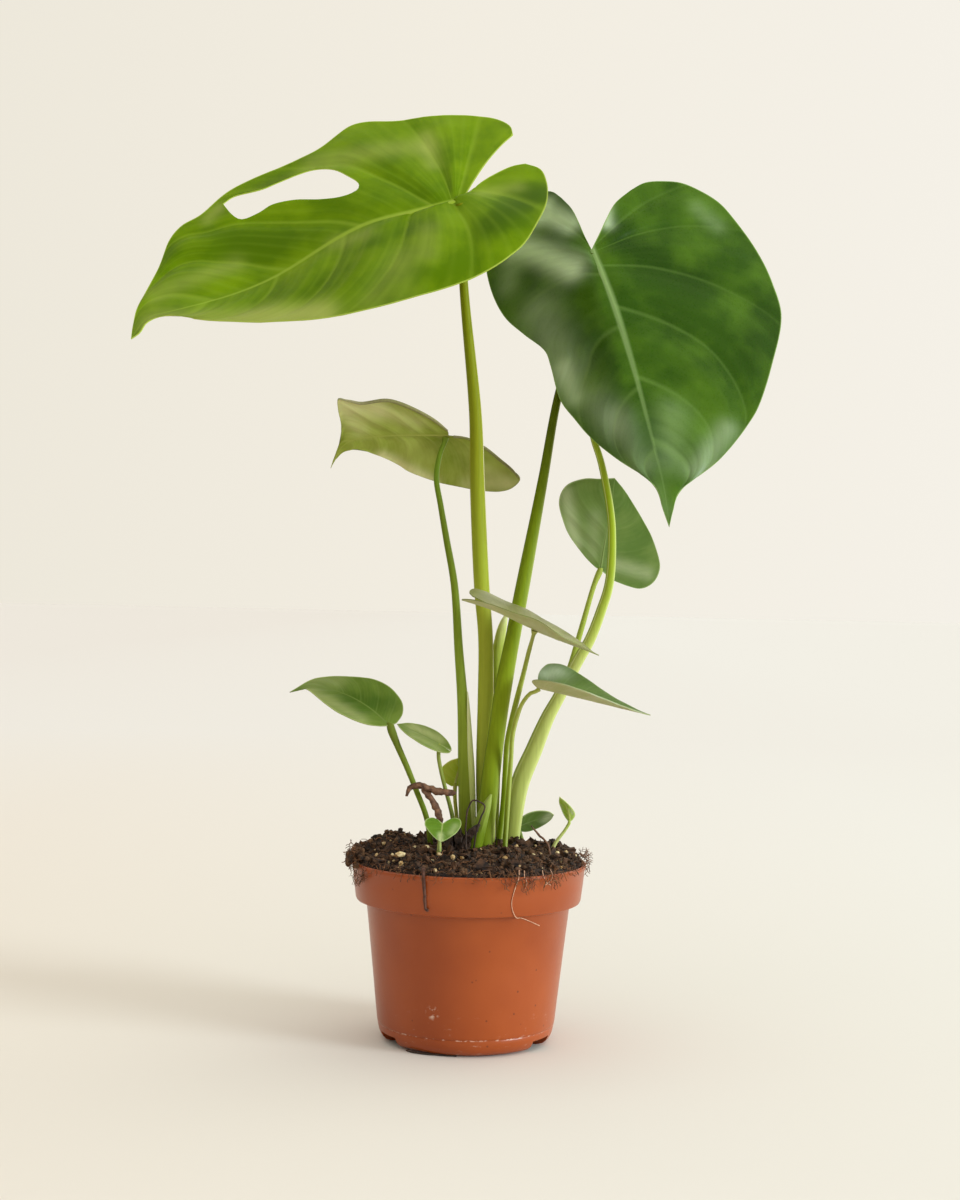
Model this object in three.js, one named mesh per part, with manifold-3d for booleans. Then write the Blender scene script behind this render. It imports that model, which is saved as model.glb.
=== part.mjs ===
// Potted monstera: a young plant with heart-shaped blades in a moulded 12 cm plastic pot.
// Millimetres, +Z up. The origin is on the floor at the middle of the pot's flat base.
// The pot's front faces -Y.
import * as THREE from 'three';
import { mergeVertices } from 'three/addons/utils/BufferGeometryUtils.js';
import Module from 'manifold-3d';

const wasm = await Module();
wasm.setup();

// ---------------------------------------------------------------- driving dimensions
const RIM_RADIUS = 60;
const RIM_HEIGHT = 90.7;
const COLLAR_FOOT_HEIGHT = 71.5;
const COLLAR_FOOT_RADIUS = 57.4;
const BODY_TOP_RADIUS = 52;
const BODY_FOOT_RADIUS = 45.3;
const BODY_FOOT_HEIGHT = 9;
const BASE_RADIUS = 38;
const WALL = 1.5;
const NOTCH_WIDTH = 9;
const NOTCH_HEIGHT = 5.5;
const NOTCH_ANGLES = [-150, -30, 30, 150];
const ROUND_SEGMENTS = 44;

const CLEARANCE = 0.35;
const SOIL_EDGE_HEIGHT = 90;
const SOIL_RISE = 10;
const SOIL_RINGS = 9;
const STEM_DEPTH = 10;
const STEM_SIDES = 8;
const STEM_STEP = 16;

const LARGE_BLADE_THICKNESS = 0.9;
const SMALL_BLADE_THICKNESS = 0.8;
const HOLE_STEPS = 26;

const COLOURS = {
  terracotta: 0xb5623a,
  soil: 0x2e2019,
  yellowGreen: 0x6b9a1e,
  darkGreen: 0x3d6b2a,
  oliveUnderside: 0x86964a,
  greyGreen: 0x6f8f4f,
  midGreen: 0x4d7a2c,
  paleYellow: 0xb4b457,
  brightGreen: 0x7fb63c,
  stalkOlive: 0x7c8a1e,
  stalkGreen: 0x6b9a23,
  stalkBright: 0x8fbf3a,
  sheathPale: 0xb9c27a,
  driedBrown: 0x5a3a22,
  darkBrown: 0x2c1c12,
};

const group = new THREE.Group();

// ---------------------------------------------------------------- small helpers
function material(colour, roughness) {
  return new THREE.MeshStandardMaterial({ color: colour, roughness, metalness: 0 });
}

function addMesh(name, geometry, colour, roughness) {
  const mesh = new THREE.Mesh(geometry, material(colour, roughness));
  mesh.name = name;
  group.add(mesh);
  return mesh;
}

function toSolid(geometry) {
  const plain = geometry.clone();
  plain.deleteAttribute('normal');
  plain.deleteAttribute('uv');
  const merged = mergeVertices(plain, 1e-4);
  return new wasm.Manifold(new wasm.Mesh({
    numProp: 3,
    vertProperties: new Float32Array(merged.attributes.position.array),
    triVerts: new Uint32Array(merged.index.array),
  }));
}

function toGeometry(solid) {
  const mesh = solid.getMesh();
  const geometry = new THREE.BufferGeometry();
  geometry.setAttribute('position', new THREE.BufferAttribute(mesh.vertProperties, 3));
  geometry.setIndex(new THREE.BufferAttribute(mesh.triVerts, 1));
  return geometry;
}

function turnUpright(latheGeometry) {
  return latheGeometry.rotateX(Math.PI / 2);
}

// A fixed sequence of numbers between 0 and 1, the same on every run.
function makeRandom(seed) {
  let state = seed;
  return () => {
    state = (state * 16807) % 2147483647;
    return state / 2147483647;
  };
}

// ---------------------------------------------------------------- pot
const potProfile = [
  [0, 0],
  [BASE_RADIUS, 0],
  [41.5, 1.2],
  [44, 4],
  [BODY_FOOT_RADIUS - 0.3, BODY_FOOT_HEIGHT - 0.5],
  [BODY_FOOT_RADIUS - 0.6, BODY_FOOT_HEIGHT],
  [BODY_FOOT_RADIUS, BODY_FOOT_HEIGHT + 0.5],
  [BODY_TOP_RADIUS, COLLAR_FOOT_HEIGHT - 1.5],
  [COLLAR_FOOT_RADIUS - 0.6, COLLAR_FOOT_HEIGHT - 0.6],
  [COLLAR_FOOT_RADIUS, COLLAR_FOOT_HEIGHT],
  [RIM_RADIUS - 0.7, RIM_HEIGHT - 3],
  [RIM_RADIUS, RIM_HEIGHT - 2.2],
  [RIM_RADIUS, RIM_HEIGHT - 0.6],
  [RIM_RADIUS - 0.6, RIM_HEIGHT],
  [RIM_RADIUS - WALL, RIM_HEIGHT],
  [RIM_RADIUS - WALL - 0.6, RIM_HEIGHT - 3],
  [COLLAR_FOOT_RADIUS - WALL, COLLAR_FOOT_HEIGHT + 1],
  [BODY_TOP_RADIUS - WALL + 0.2, COLLAR_FOOT_HEIGHT - 0.6],
  [BODY_FOOT_RADIUS - WALL, BODY_FOOT_HEIGHT + 1],
  [42, 5.2],
  [40, 2.8],
  [37.5, WALL + 0.1],
  [0, WALL + 0.1],
];
const potTurned = new THREE.LatheGeometry(
  potProfile.map(([r, z]) => new THREE.Vector2(r, z)),
  ROUND_SEGMENTS,
);
let potSolid = toSolid(turnUpright(potTurned));
for (const angle of NOTCH_ANGLES) {
  const notch = new THREE.BoxGeometry(12, NOTCH_WIDTH, NOTCH_HEIGHT * 2);
  notch.translate(BASE_RADIUS + 7, 0, 0);
  notch.rotateZ(THREE.MathUtils.degToRad(angle));
  potSolid = potSolid.subtract(toSolid(notch));
}
addMesh('pot', toGeometry(potSolid), COLOURS.terracotta, 0.45);

// ---------------------------------------------------------------- stems and stalks
// A round tapering stem along a smooth curve through its points, closed at both ends.
function stemGeometry(points, radii, options = {}) {
  const sides = options.sides ?? STEM_SIDES;
  const grow = options.grow ?? 0;
  const curve = new THREE.CatmullRomCurve3(points.map((p) => new THREE.Vector3(...p)), false, 'centripetal');
  const steps = options.steps ?? Math.max(4, Math.round(curve.getLength() / STEM_STEP));
  const frames = curve.computeFrenetFrames(steps, false);
  const positions = [];
  const index = [];
  for (let i = 0; i <= steps; i += 1) {
    const centre = curve.getPointAt(i / steps);
    if (i === 0) {
      centre.addScaledVector(frames.tangents[0], -grow * 1.5);
    }
    const at = curve.getUtoTmapping(i / steps) * (points.length - 1);
    const low = Math.min(Math.floor(at), points.length - 2);
    const radius = THREE.MathUtils.lerp(radii[low], radii[low + 1], at - low) + grow;
    for (let k = 0; k < sides; k += 1) {
      const angle = (k / sides) * Math.PI * 2;
      const spoke = frames.normals[i].clone().multiplyScalar(Math.cos(angle) * radius);
      spoke.addScaledVector(frames.binormals[i], Math.sin(angle) * radius);
      positions.push(centre.x + spoke.x, centre.y + spoke.y, centre.z + spoke.z);
    }
  }
  for (let i = 0; i < steps; i += 1) {
    for (let k = 0; k < sides; k += 1) {
      const a = i * sides + k;
      const b = i * sides + ((k + 1) % sides);
      index.push(a, b, b + sides, a, b + sides, a + sides);
    }
  }
  const last = steps * sides;
  for (let k = 1; k < sides - 1; k += 1) {
    index.push(0, k + 1, k);
    index.push(last, last + k, last + k + 1);
  }
  const geometry = new THREE.BufferGeometry();
  geometry.setAttribute('position', new THREE.BufferAttribute(new Float32Array(positions), 3));
  geometry.setIndex(index);
  return geometry;
}

const STALKS = [
  {
    name: 'petiole_left_large',
    colour: COLOURS.stalkOlive,
    path: [[9, 3, 97], [8, 2.5, 137], [7, 2.5, 172.5], [6, 2, 204.5], [3.5, 2, 231],
      [0, 1.5, 285.5], [-1.5, 1, 318], [-9, 0.5, 385.5], [-11.2, 0, 424]],
    radii: [4.1, 4.1, 3.9, 3.7, 3.9, 3.7, 3.2, 2.2, 2],
  },
  {
    name: 'petiole_right_large',
    colour: COLOURS.stalkGreen,
    path: [[7, -9, 97], [9.5, -8.5, 127.5], [13, -8, 159], [16, -6.5, 182], [20, -5, 205.5],
      [24.5, -1, 231.5], [34, 8, 286.5], [41, 17, 329.5], [51, 20, 371], [57.6, 23.6, 405.2]],
    radii: [4.8, 4.8, 4.3, 4.3, 3.8, 3.6, 2.6, 2.1, 1.8, 1.6],
  },
  {
    name: 'petiole_mid_left',
    colour: COLOURS.stalkGreen,
    path: [[-1, 0, 97], [-2.5, 0.5, 137], [-5, 1, 172.5], [-7.5, 2.5, 198], [-10.5, 4.5, 231.5],
      [-15, 6, 254.5], [-18.5, 7, 272.5], [-21, 7.5, 286.5], [-19.5, 8, 298.5], [-17, 9.3, 305.6]],
    radii: [4.3, 4.1, 2.8, 2.3, 1.9, 1.7, 1.5, 1.4, 1.3, 1.3],
  },
  {
    name: 'petiole_hidden',
    colour: COLOURS.stalkBright,
    path: [[23.5, 6, 99], [26, 6.5, 129], [32.5, 7, 147], [39, 7.5, 164], [44.5, 8, 174.5],
      [54, 8.5, 193.5], [60, 9, 204.5], [65.5, 9.5, 219.5], [69.5, 9.5, 234], [70.5, 10.5, 259],
      [69, 11, 274], [64, 11.5, 297], [60, 12, 309],
      [58.8, 18, 319], [60.3, 26.5, 329.5], [63.6, 29, 335.8]],
    radii: [4.9, 4.9, 4.4, 3.6, 3.2, 3, 2.8, 2.6, 2.4, 2.1, 2, 1.8, 1.7,
      1.7, 1.6, 1.5],
  },
  {
    name: 'petiole_upright',
    colour: COLOURS.stalkGreen,
    path: [[23, 17, 97], [26, 20, 120], [32, 24.5, 140.5], [41, 29, 164], [50, 33.5, 185],
      [57, 38, 209], [64, 42.5, 234], [66.8, 43.8, 240.3]],
    radii: [1.6, 1.6, 1.6, 1.6, 1.6, 1.5, 1.3, 1.3],
  },
  {
    name: 'petiole_edge_on',
    colour: COLOURS.stalkGreen,
    path: [[15, -5, 97], [17, -9, 123], [17.5, -12, 139], [18, -16, 152], [20, -20, 164],
      [22.5, -26, 176], [25, -32, 187.5], [27.3, -39, 199], [29.6, -44.2, 208.8]],
    radii: [1.5, 1.5, 1.4, 1.4, 1.4, 1.4, 1.2, 1.1, 1.2],
  },
  {
    name: 'petiole_low_right',
    colour: COLOURS.stalkGreen,
    path: [[18, -13, 97], [19, -18, 124], [20, -23, 144.5], [20.5, -26.5, 157], [22.5, -28.5, 166.5],
      [25, -30.5, 173.5], [29, -31.5, 178.5], [32.3, -32, 179.6]],
    radii: [1.3, 1.3, 1.1, 1.1, 1.1, 1, 1, 1],
  },
  {
    name: 'petiole_low_left',
    colour: COLOURS.stalkBright,
    path: [[-19.5, -8, 97], [-21.5, -9, 112.5], [-27.5, -11, 127.5], [-32, -12, 139],
      [-37.5, -13, 150], [-40.6, -13.9, 158.7]],
    radii: [1.3, 1.3, 1.3, 1.3, 1.3, 1.5],
  },
  {
    name: 'petiole_small_left',
    colour: COLOURS.stalkGreen,
    path: [[-6.5, -11, 97], [-9, -11.2, 115], [-12.5, -11.5, 127.5], [-15, -12, 137],
      [-16.5, -12, 145], [-16.5, -12, 148.6]],
    radii: [1.1, 1.1, 1, 1, 1, 1],
  },
  {
    name: 'petiole_small_middle',
    colour: COLOURS.paleYellow,
    path: [[-5.5, 9, 97], [-7, 9, 112.5], [-8, 9, 122], [-8, 9, 126.5]],
    radii: [1, 1, 1, 1],
  },
  {
    name: 'petiole_base_left',
    colour: COLOURS.stalkBright,
    path: [[-15, -23, 95], [-14.6, -23.5, 101], [-14, -24.5, 107], [-13.6, -25.4, 111.2]],
    radii: [1, 1, 0.9, 0.9],
  },
  {
    name: 'petiole_base_right',
    colour: COLOURS.stalkGreen,
    path: [[28, 15.8, 95], [27, 15.8, 101], [25.6, 15.4, 104.7]],
    radii: [1, 1, 1],
  },
  {
    name: 'petiole_seedling',
    colour: COLOURS.brightGreen,
    path: [[42, -5, 93], [42.5, -5, 98], [44.5, -5, 102], [48.5, -5, 107.5], [50.6, -5, 111.2]],
    radii: [0.9, 0.9, 0.9, 0.8, 0.8],
  },
  {
    name: 'sheath_new_shoot',
    colour: COLOURS.sheathPale,
    path: [[12, 13.5, 97], [12.3, 13, 140], [12.3, 11, 172.5], [12.3, 9.5, 191], [13, 8.5, 201],
      [15, 7.5, 211.5], [17, 7, 218]],
    radii: [3, 3, 3, 3, 2.8, 2.1, 0.4],
  },
  {
    name: 'sheath_green',
    colour: COLOURS.stalkBright,
    path: [[2, -18, 96], [2.5, -18, 98.5], [4, -18, 106], [6, -18, 113.5], [8.5, -18, 121], [10.5, -17.6, 126.5]],
    radii: [3.7, 3.7, 3.7, 3.2, 2.2, 0.5],
  },
  {
    name: 'sheath_dried',
    colour: COLOURS.darkBrown,
    path: [[-4.5, -19, 94], [-4.5, -19, 100], [-5, -19.5, 105], [-5.8, -20, 110]],
    radii: [2.6, 2.6, 2.5, 1.4],
  },
  {
    name: 'twig',
    colour: COLOURS.driedBrown,
    path: [[41, -12, 93], [39.8, -12, 101], [35, -12, 106], [31, -12, 110.5]],
    radii: [0.6, 0.6, 0.6, 0.6],
  },
];

// The stalk goes down into the soil from its first point.
function withRoot(stalk) {
  const [x, y, z] = stalk.path[0];
  return {
    path: [[x, y, z - STEM_DEPTH], ...stalk.path],
    radii: [stalk.radii[0], ...stalk.radii],
  };
}

const soilHoles = [];
for (const stalk of STALKS) {
  const rooted = withRoot(stalk);
  addMesh(stalk.name, stemGeometry(rooted.path, rooted.radii), stalk.colour, 0.45);
  soilHoles.push(toSolid(stemGeometry(rooted.path, rooted.radii, { grow: CLEARANCE })));
}

const DRIED_STEPS = 9;
const DRIED_FOOT_RADII = [1.3, 1.3, 1.3, 1.5, 1.4, 1];
const LOOP_STEPS = 22;

// Dried stalk: an arch that runs to the left, with a foot that goes down into the soil.
const driedArch = stemGeometry(
  [[-7, -17, 123.5], [-10.5, -17, 127.5], [-18, -17, 128], [-26.5, -17, 130], [-31, -17, 129], [-32, -17, 124.5]],
  [0.9, 1.3, 1.5, 1.4, 1.3, 0.9],
  { steps: DRIED_STEPS },
);
const driedFootPath = [[-14.5, -17, 87], [-14.5, -17, 101], [-16, -17, 115], [-17.5, -17, 120], [-20, -17, 124.5], [-24, -17, 128.6]];
const driedFoot = stemGeometry(driedFootPath, DRIED_FOOT_RADII, { steps: DRIED_STEPS });
addMesh('stalk_dried', toGeometry(toSolid(driedArch).add(toSolid(driedFoot))), COLOURS.driedBrown, 0.8);
soilHoles.push(toSolid(stemGeometry(driedFootPath, DRIED_FOOT_RADII, { grow: CLEARANCE, steps: DRIED_STEPS })));

// Thin wiry loop with both ends in the soil.
const loopPath = [[4.5, -25, 90], [4.5, -25, 101.5], [4, -25, 110.5], [5.5, -25, 115.5], [7.5, -25, 121], [5, -25, 123.4],
  [1.5, -25, 124], [-1, -25, 119.5], [-1.8, -25, 113], [-1.5, -25, 101], [-1.5, -25, 90]];
addMesh('loop_dark', stemGeometry(loopPath, loopPath.map(() => 0.5), { sides: 6, steps: LOOP_STEPS }), COLOURS.darkBrown, 0.7);
for (const x of [4.5, -1.5]) {
  const loopHole = new THREE.CylinderGeometry(1, 1, 24, 8);
  loopHole.rotateX(Math.PI / 2);
  loopHole.translate(x, -25, 101.5);
  soilHoles.push(toSolid(loopHole));
}

// ---------------------------------------------------------------- soil
const SOIL_HEAPS = [
  { x: -50, y: -2, rise: 6, spread: 14 },
  { x: -36, y: 0, rise: 5.5, spread: 9 },
  { x: 47, y: 6, rise: 3.5, spread: 12 },
  { x: 14, y: 30, rise: 2.5, spread: 12 },
];
function soilHeight(x, y) {
  const distance = Math.hypot(x, y) / RIM_RADIUS;
  let height = SOIL_EDGE_HEIGHT + SOIL_RISE * (1 - distance * distance);
  for (const heap of SOIL_HEAPS) {
    const away = ((x - heap.x) ** 2 + (y - heap.y) ** 2) / heap.spread ** 2;
    height += heap.rise * Math.exp(-away);
  }
  height += 0.9 * Math.sin(x * 0.9 + y * 0.4) * Math.cos(y * 0.8 - x * 0.3);
  height += 0.5 * Math.sin(x * 1.7 - y * 1.1 + 1);
  return height;
}

const soilOuter = RIM_RADIUS - WALL - 0.6 - CLEARANCE;
const soilProfile = [
  [0, WALL + 0.6],
  [37, WALL + 0.6],
  [39.4, 3.4],
  [41.4, 5.6],
  [BODY_FOOT_RADIUS - WALL - CLEARANCE - 0.1, BODY_FOOT_HEIGHT + 1],
  [BODY_TOP_RADIUS - WALL - CLEARANCE - 0.2, COLLAR_FOOT_HEIGHT - 0.6],
  [COLLAR_FOOT_RADIUS - WALL - CLEARANCE - 0.2, COLLAR_FOOT_HEIGHT + 1.6],
  [soilOuter - 0.2, RIM_HEIGHT - 4],
];
for (let ring = 0; ring <= SOIL_RINGS; ring += 1) {
  soilProfile.push([soilOuter * (1 - ring / SOIL_RINGS), RIM_HEIGHT]);
}
const soilTurned = turnUpright(new THREE.LatheGeometry(
  soilProfile.map(([r, z]) => new THREE.Vector2(r, z)),
  ROUND_SEGMENTS,
));
const soilPositions = soilTurned.attributes.position;
for (let i = 0; i < soilPositions.count; i += 1) {
  if (soilPositions.getZ(i) > RIM_HEIGHT - 1) {
    soilPositions.setZ(i, soilHeight(soilPositions.getX(i), soilPositions.getY(i)));
  }
}
let soilSolid = toSolid(soilTurned);

// Grains and bark chips stand out of the surface; a tuft lies over the rim on the left.
const random = makeRandom(41);
const lumps = [
  { x: -58, y: -4, z: 95.5, size: [7, 8, 3.4] },
  { x: -55, y: 10, z: 95.5, size: [7, 6, 3.6] },
  { x: -53, y: -19, z: 94.6, size: [7, 6, 2.8] },
  { x: 57, y: -2, z: 94.2, size: [5.5, 5, 2.6] },
];
for (let i = 0; i < 20; i += 1) {
  const angle = random() * Math.PI * 2;
  const reach = 26 + random() * 27;
  const size = 1.8 + random() * 1.6;
  const x = Math.cos(angle) * reach;
  const y = Math.sin(angle) * reach;
  lumps.push({ x, y, z: soilHeight(x, y) + size * 0.25, size: [size * 1.3, size, size * 0.9] });
}
for (const lump of lumps) {
  const grain = new THREE.IcosahedronGeometry(1, lump.size[0] > 5 ? 1 : 0);
  grain.scale(...lump.size);
  grain.translate(lump.x, lump.y, lump.z);
  soilSolid = soilSolid.add(toSolid(grain));
}
for (const hole of soilHoles) {
  soilSolid = soilSolid.subtract(hole);
}
const soilBodies = soilSolid.decompose();
soilBodies.sort((a, b) => b.volume() - a.volume());
addMesh('soil', toGeometry(soilBodies[0]), COLOURS.soil, 0.95);

// ---------------------------------------------------------------- blades
// A blade is drawn in its own frame: s runs along the midrib from the stalk to the tip,
// w runs across it and h is the height of its surface. Each half has a sinus edge, from
// the stalk back to the lobe, and a margin, from the lobe round to the tip.
function bladeHeight(blade, s, w) {
  const soft = blade.soft ?? 6;
  let height = (blade.droop ?? 0) * s * s;
  height += (blade.fold ?? 0) * (Math.sqrt(w * w + soft * soft) - soft);
  height += (w > 0 ? blade.curlLeft ?? 0 : blade.curlRight ?? 0) * w * w;
  for (const [atS, atW, rise, spread] of blade.swells ?? []) {
    height += rise * Math.exp(-((s - atS) ** 2 + (w - atW) ** 2) / spread ** 2);
  }
  return height;
}

function edgeCurve(points) {
  return new THREE.SplineCurve(points.map(([s, w]) => new THREE.Vector2(s, w)));
}

// One half of the blade as a patch between its rib, its margin, its sinus edge and the tip.
function halfPatch(blade, half, rows, columns) {
  const rib = edgeCurve(blade.rib).getSpacedPoints(rows);
  const margin = edgeCurve(half.margin).getSpacedPoints(rows);
  const sinus = edgeCurve(half.sinus).getSpacedPoints(columns);
  const stalkEnd = rib[0];
  const lobe = margin[0];
  const tip = rib[rows];
  const patch = [];
  for (let i = 0; i <= rows; i += 1) {
    const a = i / rows;
    const row = [];
    for (let j = 0; j <= columns; j += 1) {
      const b = j / columns;
      const point = new THREE.Vector2();
      point.addScaledVector(rib[i], 1 - b);
      point.addScaledVector(margin[i], b);
      point.addScaledVector(sinus[j], 1 - a);
      point.addScaledVector(tip, a);
      point.addScaledVector(stalkEnd, -(1 - a) * (1 - b));
      point.addScaledVector(lobe, -(1 - a) * b);
      point.addScaledVector(tip, -a);
      row.push(point);
    }
    patch.push(row);
  }
  return patch;
}

function bladeGeometry(blade) {
  const { rows, columns, thickness } = blade;
  const left = halfPatch(blade, blade.left, rows, columns);
  const right = halfPatch(blade, blade.right, rows, columns);
  const width = 2 * columns + 1;
  const flat = [];
  for (let i = 0; i < rows; i += 1) {
    for (let j = -columns; j <= columns; j += 1) {
      flat.push(j < 0 ? right[i][-j] : left[i][j]);
    }
  }
  flat.push(left[rows][0]);
  const tip = flat.length - 1;
  const count = flat.length;
  const positions = new Float32Array(count * 6);
  flat.forEach((point, n) => {
    const height = bladeHeight(blade, point.x, point.y);
    positions.set([point.x, point.y, height + thickness / 2], n * 3);
    positions.set([point.x, point.y, height - thickness / 2], (count + n) * 3);
  });
  const faces = [];
  for (let i = 0; i < rows - 1; i += 1) {
    for (let j = 0; j < width - 1; j += 1) {
      const a = i * width + j;
      const b = a + width;
      faces.push([a, b, b + 1], [a, b + 1, a + 1]);
    }
  }
  const lastRow = (rows - 1) * width;
  for (let j = 0; j < width - 1; j += 1) {
    faces.push([lastRow + j, tip, lastRow + j + 1]);
  }
  const index = [];
  for (const [a, b, c] of faces) {
    index.push(a, b, c);
    index.push(count + a, count + c, count + b);
  }
  const rim = [];
  for (let j = 0; j < width; j += 1) {
    rim.push(j);
  }
  for (let i = 1; i < rows; i += 1) {
    rim.push(i * width + width - 1);
  }
  rim.push(tip);
  for (let i = rows - 1; i > 0; i -= 1) {
    rim.push(i * width);
  }
  for (let n = 0; n < rim.length; n += 1) {
    const a = rim[n];
    const b = rim[(n + 1) % rim.length];
    index.push(a, b, count + b, a, count + b, count + a);
  }
  const geometry = new THREE.BufferGeometry();
  geometry.setAttribute('position', new THREE.BufferAttribute(positions, 3));
  geometry.setIndex(index);
  return geometry;
}

// Heading turns the tip round from +X towards +Y, pitch lifts it, roll lifts the left half.
function placeBlade(mesh, blade) {
  const [heading, pitch, roll] = blade.turn.map(THREE.MathUtils.degToRad);
  mesh.rotation.set(roll, -pitch, heading, 'ZYX');
  mesh.position.set(...blade.at);
}

const BLADES = [
  {
    name: 'blade_left_large',
    colour: COLOURS.yellowGreen,
    at: [-11.7, 0, 427],
    turn: [190, -17, -45],
    droop: -0.0008,
    fold: 0.12,
    curlLeft: -0.0035,
    curlRight: -0.0004,
    swells: [[105, 0, -8, 45], [165, 0, 3, 25]],
    rows: 18,
    columns: 6,
    thickness: LARGE_BLADE_THICKNESS,
    rib: [[-2, -2], [24, -3], [53, -6], [109, 2], [154, 4], [168, 2], [179, 11]],
    left: {
      sinus: [[-2, -2], [-14, -11], [-25, -16], [-35, -19], [-42, -19]],
      margin: [[-42, -19], [-48, -13], [-48, -3], [-42, 15], [-31, 31], [-20, 43], [-10, 49], [3, 54], [21, 57],
        [42, 57], [63, 55], [91, 48], [110, 38], [136, 22], [161, 5], [169, 5], [174, 10], [179, 11]],
    },
    right: {
      sinus: [[-2, -2], [-13, -15], [-24, -27], [-36, -38], [-44, -44]],
      margin: [[-44, -44], [-45, -52], [-40, -60], [-28, -67], [-6, -74], [11, -77], [27, -83], [35, -83],
        [54, -73], [67, -70], [107, -66], [126, -57], [137, -55], [145, -49], [155, -32], [173, -6], [179, 11]],
    },
    hole: [[113, -58], [107, -60], [92, -57], [77, -58], [61, -58], [53, -53], [48, -45], [44, -36], [46, -31],
      [54, -30], [65, -34], [78, -41], [89, -44], [98, -43], [107, -44], [111, -50]],
  },
  {
    name: 'blade_right_large',
    colour: COLOURS.darkGreen,
    at: [57.7, 22, 408],
    turn: [-60, -66, 35],
    fold: -0.36,
    curlLeft: -0.0006,
    curlRight: -0.0035,
    rows: 18,
    columns: 6,
    thickness: LARGE_BLADE_THICKNESS,
    rib: [[-1, 0], [30, 4], [60, 6], [100, 7], [139, 7], [152, 6], [161, 5]],
    left: {
      sinus: [[-1, 0], [-10, 6], [-18, 11], [-28, 18], [-36, 28]],
      margin: [[-36, 28], [-41, 37], [-42, 48], [-41, 57], [-36, 66], [-28, 75], [-17, 81], [-5, 86], [9, 90],
        [23, 92], [42, 92], [73, 79], [97, 66], [106, 59], [126, 39], [143, 14], [152, 9], [161, 5]],
    },
    right: {
      sinus: [[-1, 0], [-11, -2], [-18, -3], [-28, -5], [-37, -9]],
      margin: [[-37, -9], [-43, -13], [-46, -19], [-48, -29], [-44, -41], [-36, -50], [-27, -55], [-8, -56],
        [12, -52], [28, -44], [44, -35], [53, -34], [74, -33], [88, -28], [102, -22], [117, -13], [139, 3], [152, 4],
        [161, 5]],
    },
  },
  {
    name: 'blade_mid_left',
    colour: COLOURS.oliveUnderside,
    at: [-16.6, 10, 307.5],
    turn: [180, -4, 42],
    droop: -0.0006,
    curlLeft: -0.002,
    curlRight: -0.002,
    rows: 12,
    columns: 5,
    thickness: SMALL_BLADE_THICKNESS,
    rib: [[-1.5, 1.5], [30, 4], [48, 3], [54, -1], [58, -7.5], [61, -15]],
    left: {
      sinus: [[-1.5, 1.5], [-1.5, 3.5], [-1, 5]],
      margin: [[-1, 5], [4, 11.5], [10, 17.5], [24, 28], [29, 30], [41.5, 29], [49, 32.5], [52.5, 34], [53.5, 26],
        [53, 14], [54.5, 3.5], [61, -15]],
    },
    right: {
      sinus: [[-1.5, 1.5], [-12, -1], [-20.5, -8.5], [-34, -24]],
      margin: [[-34, -24], [-38, -29.5], [-33.5, -35.5], [-27.5, -37.5], [-19.5, -37], [-10, -35], [7.5, -29],
        [20, -22], [26, -16.5], [38.5, -7.5], [45, -4.5], [50, -3.5], [54, -5], [58, -9.5], [61, -15]],
    },
  },
  {
    name: 'blade_upright',
    colour: COLOURS.greyGreen,
    at: [67, 44, 241],
    turn: [-70, 72, 0],
    droop: -0.001,
    fold: 0.15,
    rows: 11,
    columns: 4,
    thickness: SMALL_BLADE_THICKNESS,
    rib: [[0.5, 0], [17, 0], [35, 0], [52, -1]],
    left: {
      sinus: [[0.5, 0], [-3, 5], [-6, 10]],
      margin: [[-6, 10], [-9, 19], [-10.5, 26], [-9.5, 31], [-6.5, 35], [-2, 37], [3, 37], [18.5, 29], [27, 22.5],
        [43, 8.5], [47, 4.5], [52, -1]],
    },
    right: {
      sinus: [[0.5, 0], [1.5, -2.5], [4, -6]],
      margin: [[4, -6], [7.5, -10], [19, -20.5], [26, -24.5], [36, -28.5], [42.5, -28], [47, -25], [50.5, -17],
        [51, -9.5], [52, -1]],
    },
  },
  {
    name: 'blade_hidden',
    colour: COLOURS.midGreen,
    at: [64.3, 27, 337.8],
    turn: [40, 50, 55],
    droop: -0.002,
    fold: 0.1,
    rows: 11,
    columns: 4,
    thickness: SMALL_BLADE_THICKNESS,
    rib: [[0, 0], [20, 0], [40, 0], [58, 0]],
    left: {
      sinus: [[0, 0], [-4, 2], [-8, 5]],
      margin: [[-8, 5], [-10, 11], [-8, 17], [-2, 21], [8, 22], [22, 20], [36, 13], [48, 5], [58, 0]],
    },
    right: {
      sinus: [[0, 0], [-4, -2], [-8, -5]],
      margin: [[-8, -5], [-10, -11], [-8, -17], [-2, -21], [8, -22], [22, -20], [36, -13], [48, -5], [58, 0]],
    },
  },
  {
    name: 'blade_edge_on',
    colour: COLOURS.oliveUnderside,
    at: [29.8, -44.5, 210],
    turn: [-12, -20, -2],
    fold: 0.18,
    swells: [[-36, -17, -2, 12], [-40, 24, 3, 16], [-30, 0, 1.5, 20]],
    rows: 11,
    columns: 4,
    thickness: SMALL_BLADE_THICKNESS,
    rib: [[0, 0], [12, 0], [24, 0], [34, -1]],
    left: {
      sinus: [[0, 0], [-10, 4], [-24, 8], [-37, 10]],
      margin: [[-37, 10], [-40, 14], [-40, 22], [-35, 28], [-25, 31], [-10, 31], [6, 26], [20, 16], [34, -1]],
    },
    right: {
      sinus: [[0, 0], [-10, -4], [-24, -8], [-34, -9]],
      margin: [[-34, -9], [-36, -12], [-35, -19], [-28, -25], [-14, -28], [2, -26], [16, -20], [26, -11], [34, -1]],
    },
  },
  {
    name: 'blade_low_right',
    colour: COLOURS.darkGreen,
    at: [33.4, -32, 181],
    turn: [-9, -12, 3],
    fold: 0.37,
    soft: 3,
    rows: 11,
    columns: 4,
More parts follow.
